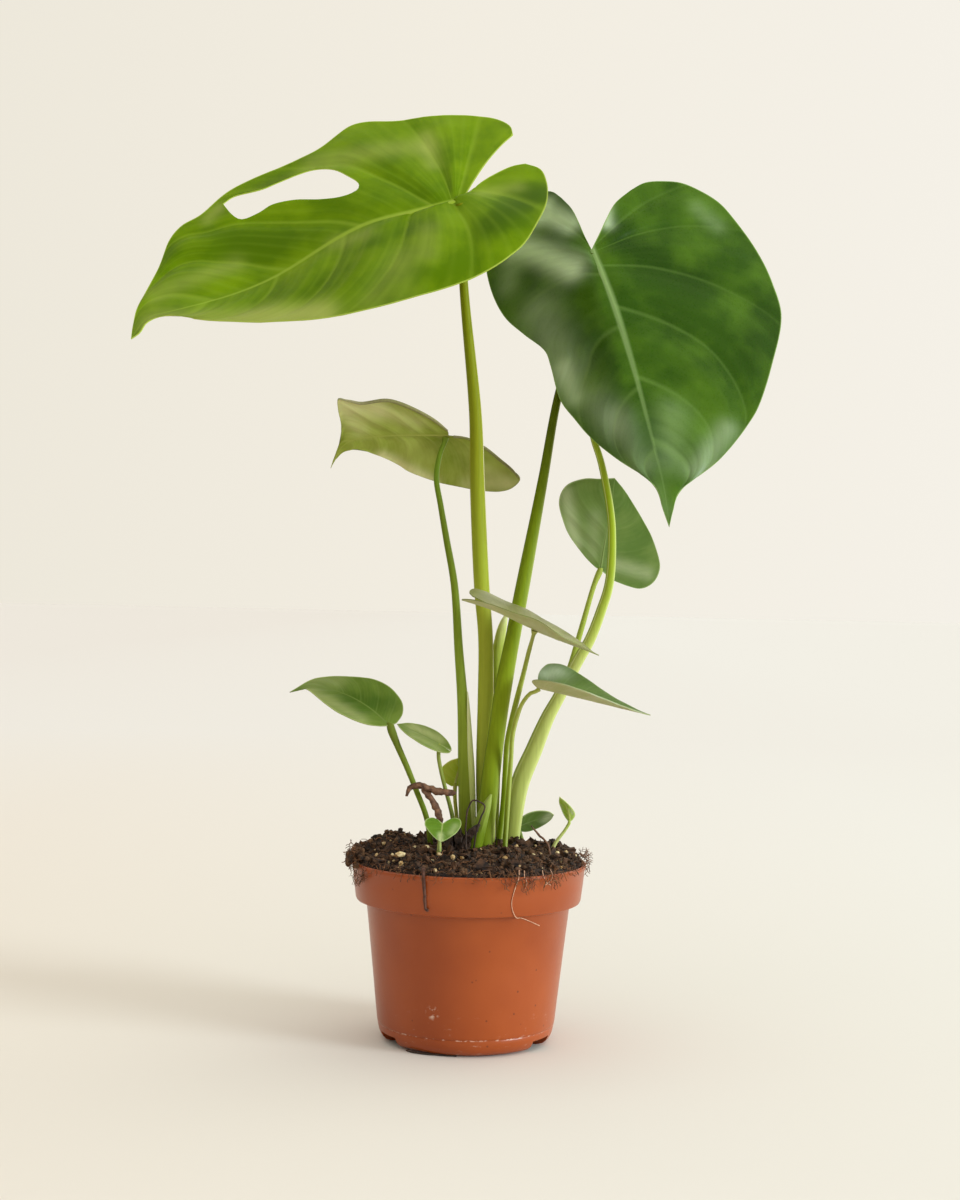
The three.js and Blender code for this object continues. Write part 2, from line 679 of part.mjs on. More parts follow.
    thickness: SMALL_BLADE_THICKNESS,
    rib: [[-1, 0], [18, 0], [36, 0], [56, 0]],
    left: {
      sinus: [[-1, 0], [-1.5, 4], [-3, 9]],
      margin: [[-3, 9], [-4, 15.5], [-3.5, 23], [-1.5, 28.5], [3.5, 31], [9, 29.5], [21, 21.5], [33.5, 12],
        [46, 5], [56, 0]],
    },
    right: {
      sinus: [[-1, 0], [-1.5, -4], [-2.5, -8]],
      margin: [[-2.5, -8], [-3, -14], [0, -19], [6, -22], [14, -22.5], [24, -19], [34, -13], [44, -7], [56, 0]],
    },
  },
  {
    name: 'blade_low_left',
    colour: COLOURS.midGreen,
    at: [-40.8, -14, 160.5],
    turn: [178, 24, -42],
    droop: -0.004,
    fold: 0.1,
    curlLeft: -0.002,
    curlRight: -0.002,
    rows: 10,
    columns: 4,
    thickness: SMALL_BLADE_THICKNESS,
    rib: [[0, 1.5], [13, -4], [28, -7.5], [42, -7.5], [54, -0.5]],
    left: {
      sinus: [[0, 1.5], [2, 3], [4, 4.5]],
      margin: [[4, 4.5], [10, 7], [18, 7.5], [28, 5.5], [38, 0.5], [45.5, -4], [49.5, -5], [54, -0.5]],
    },
    right: {
      sinus: [[0, 1.5], [-1.5, -0.5], [-2.5, -2.5]],
      margin: [[-2.5, -2.5], [-3, -9], [-0.5, -15.5], [4, -19.5], [10, -22.5], [18, -23.5], [24.5, -22], [41, -16],
        [47, -12], [54, -0.5]],
    },
  },
  {
    name: 'blade_small_left',
    colour: COLOURS.greyGreen,
    at: [-15.8, -12, 150.4],
    turn: [180, 29, -14],
    droop: -0.004,
    fold: 0.1,
    rows: 8,
    columns: 3,
    thickness: SMALL_BLADE_THICKNESS,
    rib: [[0, 0], [8, 0], [16, 0], [24, 0]],
    left: {
      sinus: [[0, 0], [-2, 1.5], [-4, 2.5]],
      margin: [[-4, 2.5], [-5.5, 5], [-3, 8], [3, 9], [10, 8], [18, 4], [24, 0]],
    },
    right: {
      sinus: [[0, 0], [-2, -1.5], [-4, -2.5]],
      margin: [[-4, -2.5], [-5.5, -5], [-3, -8], [3, -9], [10, -8], [18, -4], [24, 0]],
    },
  },
  {
    name: 'blade_small_middle',
    colour: COLOURS.paleYellow,
    at: [-8, 9.6, 127.8],
    turn: [-75, 70, 0],
    rows: 7,
    columns: 3,
    thickness: SMALL_BLADE_THICKNESS,
    rib: [[0, 0], [5, 0], [10, 0], [16, 0]],
    left: {
      sinus: [[0, 0], [-0.5, 1], [-0.5, 2]],
      margin: [[-0.5, 2], [0.5, 5], [3, 7], [7, 7.5], [11, 5.5], [16, 0]],
    },
    right: {
      sinus: [[0, 0], [-0.5, -1], [-0.5, -2]],
      margin: [[-0.5, -2], [0.5, -5], [3, -7], [7, -7.5], [11, -5.5], [16, 0]],
    },
  },
  {
    name: 'blade_base_left',
    colour: COLOURS.stalkBright,
    at: [-13.6, -26, 112.5],
    turn: [-95, -42, 0],
    droop: -0.01,
    fold: -0.1,
    rows: 7,
    columns: 3,
    thickness: SMALL_BLADE_THICKNESS,
    rib: [[0, 0], [4, 0], [8, 0], [13, 0]],
    left: {
      sinus: [[0, 0], [-1.5, 2], [-3, 3.5]],
      margin: [[-3, 3.5], [-3.5, 6.5], [-1, 8.8], [3, 9], [7, 7], [13, 0]],
    },
    right: {
      sinus: [[0, 0], [-1.5, -2], [-3, -3.5]],
      margin: [[-3, -3.5], [-3.5, -6.5], [-1, -8.8], [3, -9], [7, -7], [13, 0]],
    },
  },
  {
    name: 'blade_base_right',
    colour: COLOURS.greyGreen,
    at: [25.5, 15, 107.2],
    turn: [15, 26, -50],
    droop: -0.012,
    rows: 7,
    columns: 3,
    thickness: SMALL_BLADE_THICKNESS,
    rib: [[0, 0], [5, 0], [10, 0], [16, 0]],
    left: {
      sinus: [[0, 0], [-0.5, 1], [-0.5, 2]],
      margin: [[-0.5, 2], [1, 5], [5, 6.5], [9, 5], [16, 0]],
    },
    right: {
      sinus: [[0, 0], [-0.5, -1], [-0.5, -2]],
      margin: [[-0.5, -2], [1, -5], [5, -6.5], [9, -5], [16, 0]],
    },
  },
  {
    name: 'blade_seedling',
    colour: COLOURS.brightGreen,
    at: [50.9, -5, 112.4],
    turn: [-100, 68, 0],
    fold: 0.2,
    soft: 2,
    rows: 7,
    columns: 3,
    thickness: SMALL_BLADE_THICKNESS,
    rib: [[0, 0], [4, -0.2], [8, -1.4], [13, -5]],
    left: {
      sinus: [[0, 0], [0, 0.6], [0.2, 1.2]],
      margin: [[0.2, 1.2], [3, 2.8], [6, 2.2], [10, -0.8], [13, -5]],
    },
    right: {
      sinus: [[0, 0], [0, -0.6], [0.2, -1.2]],
      margin: [[0.2, -1.2], [3, -3], [7, -4.6], [10, -5.4], [13, -5]],
    },
  },
];

for (const blade of BLADES) {
  let geometry = bladeGeometry(blade);
  if (blade.hole) {
    const outline = edgeCurve([...blade.hole, blade.hole[0]]).getSpacedPoints(HOLE_STEPS);
    outline.pop();
    const cutter = new THREE.ExtrudeGeometry(new THREE.Shape(outline), { depth: 100, bevelEnabled: false });
    cutter.translate(0, 0, -60);
    geometry = toGeometry(toSolid(geometry).subtract(toSolid(cutter)));
  }
  placeBlade(addMesh(blade.name, geometry, blade.colour, 0.4), blade);
}

export default group;
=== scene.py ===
# %% [markdown]
# A young monstera in a moulded 12 cm nursery pot. The plant's solids come from a packed
# CAD model, the frame. They say where every petiole and blade is, so nothing is placed by
# eye here. Each plain solid is then replaced by a finer piece of the same form: blades with
# their veins and pleats, petioles with their sheaths, crumbly soil and a worn plastic pot.

# %% Load the frame
import math
import random
from functools import partial

import bpy
import numpy as np
from mathutils import Matrix, Vector, noise


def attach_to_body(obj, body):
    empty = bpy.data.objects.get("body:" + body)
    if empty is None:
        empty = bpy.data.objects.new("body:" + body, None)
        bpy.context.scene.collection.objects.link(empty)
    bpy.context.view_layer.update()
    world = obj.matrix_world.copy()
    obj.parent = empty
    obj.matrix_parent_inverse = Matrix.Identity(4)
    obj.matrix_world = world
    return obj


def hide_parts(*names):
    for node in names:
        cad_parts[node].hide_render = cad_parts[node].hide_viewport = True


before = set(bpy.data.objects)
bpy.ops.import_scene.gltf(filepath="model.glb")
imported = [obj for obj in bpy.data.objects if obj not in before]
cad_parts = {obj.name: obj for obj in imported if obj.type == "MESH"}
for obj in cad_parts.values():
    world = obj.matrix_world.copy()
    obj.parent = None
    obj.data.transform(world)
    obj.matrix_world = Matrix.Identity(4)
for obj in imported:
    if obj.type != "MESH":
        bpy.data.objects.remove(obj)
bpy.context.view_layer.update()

# %% [markdown]
# Lengths are written in millimetres, as a plant grower would measure them, and turned to
# Blender's metres at the moment a mesh is made. An operator acts on all that is selected,
# and the frame's solids come in selected, so each new primitive starts with nothing
# selected. Edit mode is entered for a list of operators and then left, as by hand.

# %% Selecting and editing
MM = 0.001
print("one millimetre is", MM, "of Blender's units")


def start_clean():
    """Leaves edit mode and deselects everything, so that an operator meets only the new piece."""
    if bpy.context.mode != "OBJECT":
        bpy.ops.object.mode_set(mode="OBJECT")
    bpy.ops.object.select_all(action="DESELECT")


def work_on(piece):
    """Makes a piece the only selected and the active object."""
    start_clean()
    piece.select_set(True)
    bpy.context.view_layer.objects.active = piece


def edit(piece, *steps):
    """Runs edit-mode operators, given as (operator, settings), on the whole of a piece."""
    work_on(piece)
    bpy.ops.object.mode_set(mode="EDIT")
    bpy.ops.mesh.select_all(action="SELECT")
    for operator, settings in steps:
        operator(**settings)
    bpy.ops.object.mode_set(mode="OBJECT")

# %% [markdown]
# Modifiers finish what edit mode has shaped, such as the thickness of a leaf. Each is
# applied at once, so that the mesh itself is the result and the next step can build on it.
# Curved skins are shaded smooth, and edges where two faces meet at an angle stay crisp.

# %% Modifiers, shading and joining
SHARP_ANGLE = 50


def add_modifier(piece, kind, **settings):
    """Adds a modifier with its settings and applies it at once."""
    work_on(piece)
    modifier = piece.modifiers.new(kind.title(), kind)
    for name, value in settings.items():
        setattr(modifier, name, value)
    bpy.ops.object.modifier_apply(modifier=modifier.name)


def smooth(piece, angle=SHARP_ANGLE):
    """Smooth shading that keeps edges sharper than the angle."""
    work_on(piece)
    bpy.ops.object.shade_smooth_by_angle(angle=math.radians(angle))


def join(pieces, name):
    """Joins pieces into one with a new name."""
    work_on(pieces[0])
    for piece in pieces:
        piece.select_set(True)
    if len(pieces) > 1:
        bpy.ops.object.join()
    pieces[0].name = name
    pieces[0].data.name = name
    return pieces[0]


print("edges stay sharp above", SHARP_ANGLE, "degrees")

# %% [markdown]
# A finished piece is handed to the frame. It rides on the plant's only body, and the plain
# solid it stands in for is hidden. Its place is first written into its mesh, because
# patterns are drawn in the object's own coordinates.

# %% Handing a piece over
def piece_box(piece):
    """The lowest and highest corners of a piece whose object is at the origin."""
    places = np.empty(len(piece.data.vertices) * 3)
    piece.data.vertices.foreach_get("co", places)
    places = places.reshape(-1, 3) / MM
    return places.min(axis=0).round(1), places.max(axis=0).round(1)


def settle(piece, slot, *nodes):
    """Puts a finished piece in its body and hides the nodes it stands for. The slot is not used."""
    work_on(piece)
    bpy.ops.object.transform_apply(location=True, rotation=True, scale=True)
    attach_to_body(piece, "root")
    if nodes:
        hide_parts(*nodes)
    low, high = piece_box(piece)
    print(f"{piece.name}: {len(piece.data.polygons)} faces, from {low} to {high} mm")
    return piece


# %% [markdown]
# Plants have hardly a straight line, so most pieces follow curves that are drawn through a
# few points. `smooth_line` runs a curve through such points and returns evenly spaced ones.
# A number behind the coordinates, such as a radius, is carried along.

# %% Curves
def smooth_line(points, count, space=3):
    """count + 1 even points on a centripetal Catmull-Rom curve through the given points."""
    knots = np.array(points, float)
    knots = np.vstack([2 * knots[0] - knots[1], knots, 2 * knots[-1] - knots[-2]])
    track = []
    for p0, p1, p2, p3 in zip(knots, knots[1:], knots[2:], knots[3:]):
        d0, d1, d2 = (max(np.linalg.norm((b - a)[:space]) ** 0.5, 1e-6)
                      for a, b in ((p0, p1), (p1, p2), (p2, p3)))
        m1 = ((p1 - p0) / d0 - (p2 - p0) / (d0 + d1) + (p2 - p1) / d1) * d1
        m2 = ((p2 - p1) / d1 - (p3 - p1) / (d1 + d2) + (p3 - p2) / d2) * d1
        for t in np.linspace(0, 1, 16, endpoint=False):
            track.append((2 * t**3 - 3 * t**2 + 1) * p1 + (t**3 - 2 * t**2 + t) * m1
                         + (3 * t**2 - 2 * t**3) * p2 + (t**3 - t**2) * m2)
    track = np.array(track + [knots[-2]])
    reach = np.insert(np.cumsum(np.linalg.norm(np.diff(track[:, :space], axis=0), axis=1)), 0, 0)
    even = np.linspace(0, reach[-1], count + 1)
    return np.stack([np.interp(even, reach, column) for column in track.T], axis=1)


print("a corner as a curve:", smooth_line([(0, 0), (10, 0), (10, 10)], 4, 2).round(1).tolist())

# %% [markdown]
# A blade or a petiole is a plain grid primitive whose vertices are laid on such curves.
# Extrusion in edit mode would reach a similar shape, but the grid keeps rows and columns
# that veins can follow, and its map can be written row by row. Numbers that a material
# needs at each point, such as how near the midrib is, are kept with the mesh.

# %% Grids and their maps
def laid_grid(name, points):
    """A grid primitive whose vertices are laid on an array of rows and columns of points in mm."""
    rows, columns = points.shape[0] - 1, points.shape[1] - 1
    start_clean()
    bpy.ops.mesh.primitive_grid_add(x_subdivisions=columns, y_subdivisions=rows, size=2)
    piece = bpy.context.active_object
    piece.name = name
    piece.data.name = name
    piece.data.vertices.foreach_set("co", (points * MM).reshape(-1))
    piece.data.update()
    return piece


def write_map(piece, name, across, along):
    """A UV map from two arrays with one number for each corner of each face."""
    layer = piece.data.uv_layers.new(name=name)
    layer.data.foreach_set("uv", np.stack([across, along], axis=-1).reshape(-1))


def write_attribute(piece, name, values):
    """One number for each vertex, which a material can read by name."""
    attribute = piece.data.attributes.new(name, "FLOAT", "POINT")
    attribute.data.foreach_set("value", np.ascontiguousarray(values, dtype=np.float32).reshape(-1))


def corner_cells(piece):
    """For each face corner: its vertex, and its face."""
    vertex = np.empty(len(piece.data.loops), int)
    piece.data.loops.foreach_get("vertex_index", vertex)
    return vertex, np.repeat(np.arange(len(piece.data.polygons)), 4)


print("helpers for grids: laid_grid, write_map, write_attribute, corner_cells")

# %% [markdown]
# Materials are node trees. One helper adds a node with its settings and links, and one turns
# the hex colours that a colour picker shows into the linear values that shaders work in.

# %% Helpers for materials
def linear(code):
    """An sRGB hex colour as linear red, green, blue and alpha."""
    parts = [int(code[i:i + 2], 16) / 255 for i in (1, 3, 5)]
    return (*(p / 12.92 if p <= 0.04045 else ((p + 0.055) / 1.055) ** 2.4 for p in parts), 1.0)


def add_node(material, kind, inputs=None, stops=None, **settings):
    """Adds a shader node. An input takes a value or another node's output."""
    node = material.node_tree.nodes.new("ShaderNode" + kind)
    if kind == "Mix":
        node.data_type = "RGBA"        # only colours are mixed here
    for name, value in settings.items():
        setattr(node, name, value)
    for key, value in (inputs or {}).items():
        socket = node.inputs[key]
        if isinstance(value, bpy.types.NodeSocket):
            material.node_tree.links.new(value, socket)
        elif isinstance(value, str):
            socket.default_value = linear(value)
        else:
            socket.default_value = value
    if stops:
        while len(node.color_ramp.elements) < len(stops):
            node.color_ramp.elements.new(0.5)
        for element, (place, colour) in zip(node.color_ramp.elements, stops):
            element.position = place
            element.color = linear(colour)
    return node


def new_material(name):
    """A new material, its surface shader joined to the output, and a way to add nodes to it."""
    material = bpy.data.materials.new(name)
    material.use_nodes = True
    material.node_tree.nodes.clear()
    add = partial(add_node, material)
    surface = add("BsdfPrincipled")
    add("OutputMaterial", {"Surface": surface.outputs["BSDF"]})
    return material, surface, add


def attach(material, surface, inputs):
    """Sets or links the surface shader's own sockets."""
    for key, value in inputs.items():
        if isinstance(value, bpy.types.NodeSocket):
            material.node_tree.links.new(value, surface.inputs[key])
        else:
            surface.inputs[key].default_value = linear(value) if isinstance(value, str) else value


def scale_for(size):
    """The scale of a pattern whose lumps are of a size in mm."""
    return 1 / (size * MM)


print("mid grey in linear light:", [round(part, 3) for part in linear("#808080")])

# %% [markdown]
# The studio comes first, because a material can only be judged in its light. The camera
# stands level with the middle of the plant, 0.92 m in front of it. Its place, its 54 mm lens
# and its lean of a little over a degree follow from the pot, whose three rings are seen as
# three ellipses.

# %% Camera
CAMERA_PLACE = (0.00284, -0.9218, 0.22395)
CAMERA_LEAN = 1.21
LENS_MM = 54

start_clean()
bpy.ops.object.camera_add(location=CAMERA_PLACE)
camera = bpy.context.active_object
camera.rotation_euler = (Matrix.Rotation(math.radians(90), 3, "X")
                         @ Matrix.Rotation(math.radians(CAMERA_LEAN), 3, "Z")).to_euler()
camera.data.sensor_fit = "AUTO"
camera.data.sensor_width = 36
camera.data.lens = LENS_MM
camera.data.clip_start = 0.05
bpy.context.scene.camera = camera
print("camera at", tuple(camera.location), "lens", camera.data.lens, "mm")

# %% [markdown]
# The pot's shadow falls to the left and back and has a wide soft edge, so the main light is
# a low window at the front right, slightly cool. A far wider, warmer lamp stands for the
# ceiling and lifts the tops of the leaves. Sun lamps give the same light over the whole
# plant, as a large window does.

# %% Lamps
SOFT_LIGHTS = {       # direction, strength, width in degrees, tint
    "window_light": ((1.45, -0.68, 0.36), 2.9, 22, "#e7f5ff"),
    "overhead_light": ((-0.12, -0.38, 1.0), 1.65, 110, "#fffcf8"),
}

for name, (direction, strength, angle, tint) in SOFT_LIGHTS.items():
    start_clean()
    bpy.ops.object.light_add(type="SUN", location=direction)
    lamp = bpy.context.active_object
    lamp.name = name
    lamp.data.energy = strength
    lamp.data.angle = math.radians(angle)
    lamp.data.color = linear(tint)[:3]
    lamp.rotation_euler = Vector(direction).to_track_quat("Z", "Y").to_euler()
print("lamps:", ", ".join(SOFT_LIGHTS))

# %% [markdown]
# A pale studio is mostly its own walls, and a waxy leaf mirrors them. One even grey would
# look flat, so the surround is brightest to the right and to the back, and darkest behind
# the camera. One ramp follows a direction sideways and one follows it in depth, and the two
# are multiplied. The picture keeps the plain Standard view, so that paper stays nearly white.

# %% Surround
SURROUND_STRENGTH = 2.0

bpy.context.scene.view_settings.view_transform = "Standard"
world = bpy.data.worlds.new("pale_studio")
bpy.context.scene.world = world
world.use_nodes = True
world.node_tree.nodes.clear()
direction = add_node(world, "TexCoord").outputs["Generated"]
split = add_node(world, "SeparateXYZ", {"Vector": direction})
sideways = add_node(world, "MapRange", {"Value": split.outputs["X"], "From Min": -1.0})
forward = add_node(world, "MapRange", {"Value": split.outputs["Y"], "From Min": -1.0})
walls = add_node(world, "ValToRGB", {"Fac": sideways.outputs["Result"]},
                 stops=[(0, "#958f86"), (0.36, "#aeaaa0"), (0.5, "#b2aea5"), (0.64, "#b4b1aa"),
                        (0.82, "#fbf8f0"), (1, "#fffdf4")])
depth = add_node(world, "ValToRGB", {"Fac": forward.outputs["Result"]},
                 stops=[(0, "#606060"), (0.5, "#b0b0b0"), (0.88, "#ffffff")])
mixed = add_node(world, "Mix", {"Factor": 1.0, 6: walls.outputs["Color"], 7: depth.outputs["Color"]},
                 blend_type="MULTIPLY")
glow = add_node(world, "Background", {"Color": mixed.outputs[2], "Strength": SURROUND_STRENGTH})
add_node(world, "OutputWorld", {"Surface": glow.outputs["Background"]})
print("surround:", world.name, "at strength", SURROUND_STRENGTH)

# %% [markdown]
# The plant stands on matt backdrop paper that runs far back. Its tone is painted light: it
# is darker and warmer at the left and lighter and cooler at the right, towards the window,
# and farther back the difference is smaller, so that no line shows where it ends. It belongs
# to the stage and not to the plant.

# %% Backdrop paper
PAPER_METRES = 60

start_clean()
bpy.ops.mesh.primitive_plane_add(size=PAPER_METRES, location=(0, 0, 0))
floor = bpy.context.active_object
floor.name = "floor"
paper, paper_surface, add_to_paper = new_material("pale_backdrop_paper")
paper_place = add_to_paper("TexCoord").outputs["Object"]
paper_across, paper_back, _ = add_to_paper("SeparateXYZ", {"Vector": paper_place}).outputs
paper_share = add_to_paper("MapRange", {"Value": paper_across, "From Min": -0.45, "From Max": 0.45})
# Painted light falloff near the plant: darker and warmer at the left, lighter and cooler at the right.
painted_light_near = add_to_paper("ValToRGB", {"Fac": paper_share.outputs["Result"]},
                          stops=[(0, "#ddd4c6"), (1, "#e2e1da")])
paper_far = add_to_paper("MapRange", {"Value": paper_back, "From Min": 0.1, "From Max": 2.0})
paper_wide = add_to_paper("MapRange", {"Value": paper_across, "From Min": -1.6, "From Max": 1.0})
# Painted light falloff far back, weaker, so that the paper meets the surround.
painted_light_far = add_to_paper("ValToRGB", {"Fac": paper_wide.outputs["Result"]},
                         stops=[(0, "#dbd6cf"), (1, "#dfddd7")])
paper_mix = add_to_paper("Mix", {"Factor": paper_far.outputs["Result"], 7: painted_light_far.outputs["Color"],
                                 6: painted_light_near.outputs["Color"]})
attach(paper, paper_surface, {"Base Color": paper_mix.outputs[2], "Roughness": 0.9,
                              "Specular IOR Level": 0.1})
floor.data.materials.append(paper)
print("backdrop paper:", tuple(floor.dimensions), "m")

# %% [markdown]
# The pot is injection-moulded polypropylene, 120 mm across its rim. Its outline is drawn as
# radius and height in millimetres: from the foot up the outside, over the rim and down the
# inside. Small steps at the foot and under the collar catch the light as the real ones do.

# %% Outline of the pot
RIM_RADIUS = 60
RIM_HEIGHT = 90.7
COLLAR_FOOT_RADIUS = 57.4
BODY_TOP_RADIUS = 52
BODY_FOOT_RADIUS = 45.3
BASE_RADIUS = 38
WALL = 1.5

POT_PROFILE = [
    (BASE_RADIUS, 0), (41.5, 1.2), (43.2, 2.8), (44.3, 5), (BODY_FOOT_RADIUS - 0.3, 8.3),
    (BODY_FOOT_RADIUS - 0.5, 8.8), (BODY_FOOT_RADIUS - 0.1, 9.3), (BODY_FOOT_RADIUS + 0.1, 10.5),
    (48.6, 40), (BODY_TOP_RADIUS - 0.1, 69.4), (BODY_TOP_RADIUS + 0.4, 70.3),
    (COLLAR_FOOT_RADIUS - 1.4, 70.8), (COLLAR_FOOT_RADIUS - 0.4, 71.2),
    (COLLAR_FOOT_RADIUS + 0.1, 72.2), (58.5, 80.5), (RIM_RADIUS - 0.7, 87.6),
    (RIM_RADIUS - 0.2, 88.3), (RIM_RADIUS, 89), (RIM_RADIUS - 0.1, 90.1),
    (RIM_RADIUS - 0.7, RIM_HEIGHT), (RIM_RADIUS - WALL, RIM_HEIGHT - 0.2),
    (RIM_RADIUS - WALL - 0.5, 88), (COLLAR_FOOT_RADIUS - WALL, 72.5), (50.7, 70.9), (43.8, 10),
    (42, 5.2), (40, 2.8), (37.5, WALL),
]
print("outline of the pot:", len(POT_PROFILE), "points, rim", 2 * RIM_RADIUS, "mm across")

# %% [markdown]
# A round pot could be spun from its outline. Here it is raised as on a potter's wheel, which
# shows each step: a ring of edges at the foot is extruded and resized from point to point of
# the outline, and the two open rings are then closed with a face.

# %% Pot
POT_SEGMENTS = 144

start_clean()
bpy.ops.mesh.primitive_circle_add(vertices=POT_SEGMENTS, radius=BASE_RADIUS * MM, fill_type="NOTHING")
pot = bpy.context.active_object
bpy.ops.object.mode_set(mode="EDIT")
bpy.ops.mesh.select_all(action="SELECT")
for (radius, height), (next_radius, next_height) in zip(POT_PROFILE, POT_PROFILE[1:]):
    rise = (0, 0, (next_height - height) * MM)
    bpy.ops.mesh.extrude_region_move(TRANSFORM_OT_translate={"value": rise})
    widen = next_radius / radius
    bpy.ops.transform.resize(value=(widen, widen, 1))
bpy.ops.mesh.edge_face_add()
bpy.ops.mesh.select_all(action="SELECT")
bpy.ops.mesh.fill_holes(sides=0)
bpy.ops.mesh.select_all(action="SELECT")
bpy.ops.mesh.normals_make_consistent(inside=False)
bpy.ops.object.mode_set(mode="OBJECT")
print("pot:", len(pot.data.polygons), "faces")

# %% [markdown]
# Notches in the foot let water drain from under the pot. Each is cut with a bevelled block,
# so that its edges are round, as a mould leaves them.

# %% Drain notches
NOTCH_ANGLES = [-152, -30, 30, 152]
NOTCH_DEPTH = 20
NOTCH_WIDTH = 16
NOTCH_HEIGHT = 5.5
NOTCH_ROUNDING = 0.8
NOTCH_MIDDLE = BASE_RADIUS + 6

for angle in NOTCH_ANGLES:
    start_clean()
    bpy.ops.mesh.primitive_cube_add(size=1)
    notch = bpy.context.active_object
    notch.scale = (NOTCH_DEPTH * MM, NOTCH_WIDTH * MM, NOTCH_HEIGHT * 2 * MM)
    turn = Matrix.Rotation(math.radians(angle), 4, "Z")
    notch.location = turn @ Vector((NOTCH_MIDDLE * MM, 0, 0))
    notch.rotation_euler = (0, 0, math.radians(angle))
    edit(notch, (bpy.ops.mesh.bevel, {"offset": NOTCH_ROUNDING * MM, "segments": 2}))
    add_modifier(pot, "BOOLEAN", object=notch, operation="DIFFERENCE", solver="EXACT")
    bpy.data.objects.remove(notch)
pot.name = "moulded_pot"
pot.data.name = "moulded_pot"
smooth(pot, 38)
print("pot with", len(NOTCH_ANGLES), "notches:", len(pot.data.polygons), "faces")

# %% [markdown]
# Polypropylene in the colour of fired clay comes from the mould with a satin skin. Handling
# leaves it scratched and chalky at the foot, where it slides on benches, so the wear is
# drawn low on the pot: a broken chalk line in the foot's groove, one scuff, fine scratches
# and a few dark specks. The patterns are noises in the pot's own space, sized in mm.

# %% Moulded plastic
SCUFF_PLACE = (-0.0164, -0.0445, 0.022)
GROOVE_HEIGHT = 8.9


def moulded_plastic():
    """Injection-moulded polypropylene the colour of fired clay, worn at its foot."""
    material, surface, add = new_material("moulded_polypropylene")
    place = add("TexCoord").outputs["Object"]
    height = add("SeparateXYZ", {"Vector": place}).outputs["Z"]
    # Pigment that mixed unevenly gives two close tones, in clouds 42 mm wide.
    clouds = add("TexNoise", {"Vector": place, "Scale": scale_for(41.67), "Detail": 3.0})
    colour = add("ValToRGB", {"Fac": clouds.outputs["Fac"]},
                 stops=[(0.3, "#933f10"), (0.7, "#a24b19")]).outputs["Color"]
    # Chalk sits in the groove in a line that grains of 2 mm break up.
    grit = add("TexNoise", {"Vector": place, "Scale": scale_for(1.923), "Detail": 3.0})
    broken = add("MapRange", {"Value": grit.outputs["Fac"], "From Min": 0.52, "From Max": 0.68})
    from_groove = add("Math", {0: height, 1: GROOVE_HEIGHT * MM}, operation="SUBTRACT")
    off_groove = add("Math", {0: from_groove.outputs[0]}, operation="ABSOLUTE")
    groove = add("MapRange", {"Value": off_groove.outputs[0], "From Max": 0.5 * MM,
                              "To Min": 0.9, "To Max": 0.0})
    low_down = add("MapRange", {"Value": height, "From Min": 4 * MM, "From Max": 24 * MM,
                                "To Min": 1.0, "To Max": 0.0})
    # Scratches lie flat, 6 mm long and 2.4 mm apart, and only near the foot.
    spacing = (scale_for(6.25), scale_for(6.25), scale_for(2.381))
    stretched = add("Mapping", {"Vector": place, "Scale": spacing, "Rotation": (0.3, 0.2, 0)})
    scratch = add("TexNoise", {"Vector": stretched.outputs["Vector"], "Scale": 1.0,
                               "Detail": 6.0, "Roughness": 0.7})
    scratched = add("MapRange", {"Value": scratch.outputs["Fac"], "From Min": 0.6,
                                 "From Max": 0.75, "To Max": 0.5})
    worn = add("Math", {0: scratched.outputs["Result"], 1: low_down.outputs["Result"]},
               operation="MULTIPLY")
    chalk = add("Math", {0: groove.outputs["Result"], 1: broken.outputs["Result"]},
                operation="MULTIPLY")
    # One scuff, 8 mm across, shows where the pot was knocked.
    spot = add("VectorMath", {0: place, 1: SCUFF_PLACE}, operation="DISTANCE")
    scuff = add("MapRange", {"Value": spot.outputs["Value"], "From Max": 4.2 * MM,
                             "To Min": 1.6, "To Max": 0.0})
    scuffed = add("Math", {0: scuff.outputs["Result"], 1: broken.outputs["Result"]},
                  operation="MULTIPLY")
    wear = add("Math", {0: worn.outputs[0], 1: chalk.outputs[0]}, operation="MAXIMUM")
    wear = add("Math", {0: wear.outputs[0], 1: scuffed.outputs[0]}, operation="MAXIMUM")
    colour = add("Mix", {"Factor": wear.outputs[0], 6: colour, 7: "#e2c3ad"}).outputs[2]
    # Specks of soil under a millimetre wide lie about 8 mm apart, and only in some clouds.
    cells = add("TexVoronoi", {"Vector": place, "Scale": scale_for(7.692)})
    speck = add("MapRange", {"Value": cells.outputs["Distance"], "From Min": 0.05,
                             "From Max": 0.09, "To Min": 0.6, "To Max": 0.0})
    rare = add("MapRange", {"Value": clouds.outputs["Fac"], "From Min": 0.52, "From Max": 0.56})
    specks = add("Math", {0: speck.outputs["Result"], 1: rare.outputs["Result"]}, operation="MULTIPLY")
    colour = add("Mix", {"Factor": specks.outputs[0], 6: colour, 7: "#4a2415"}).outputs[2]
    # The satin shine varies a little, and faint grit keeps the highlight from looking wet.
    shine = add("MapRange", {"Value": grit.outputs["Fac"], "To Min": 0.26, "To Max": 0.38})
    relief = add("Bump", {"Height": grit.outputs["Fac"], "Strength": 0.25, "Distance": 0.1 * MM})
    attach(material, surface, {"Base Color": colour, "Roughness": shine.outputs["Result"], "IOR": 1.49,
                               "Specular IOR Level": 0.4, "Normal": relief.outputs["Normal"]})
    return material


pot.data.materials.append(moulded_plastic())
settle(pot, "terracotta_plastic", "pot")

# %% [markdown]
# Potting soil is bark, peat and coir fibre. It is heaped a little above the rim, with four
# low heaps where roots push it up, and lumps of 7, 3 and 1 mm on top. Everything that lies
# on the soil asks the same function for its height.

# %% Height of the soil
SOIL_EDGE_HEIGHT = 90
SOIL_RISE = 10
SOIL_HEAPS = [(-50, -2, 6, 14), (-36, 0, 5.5, 9), (47, 6, 3.5, 12), (14, 30, 2.5, 12)]


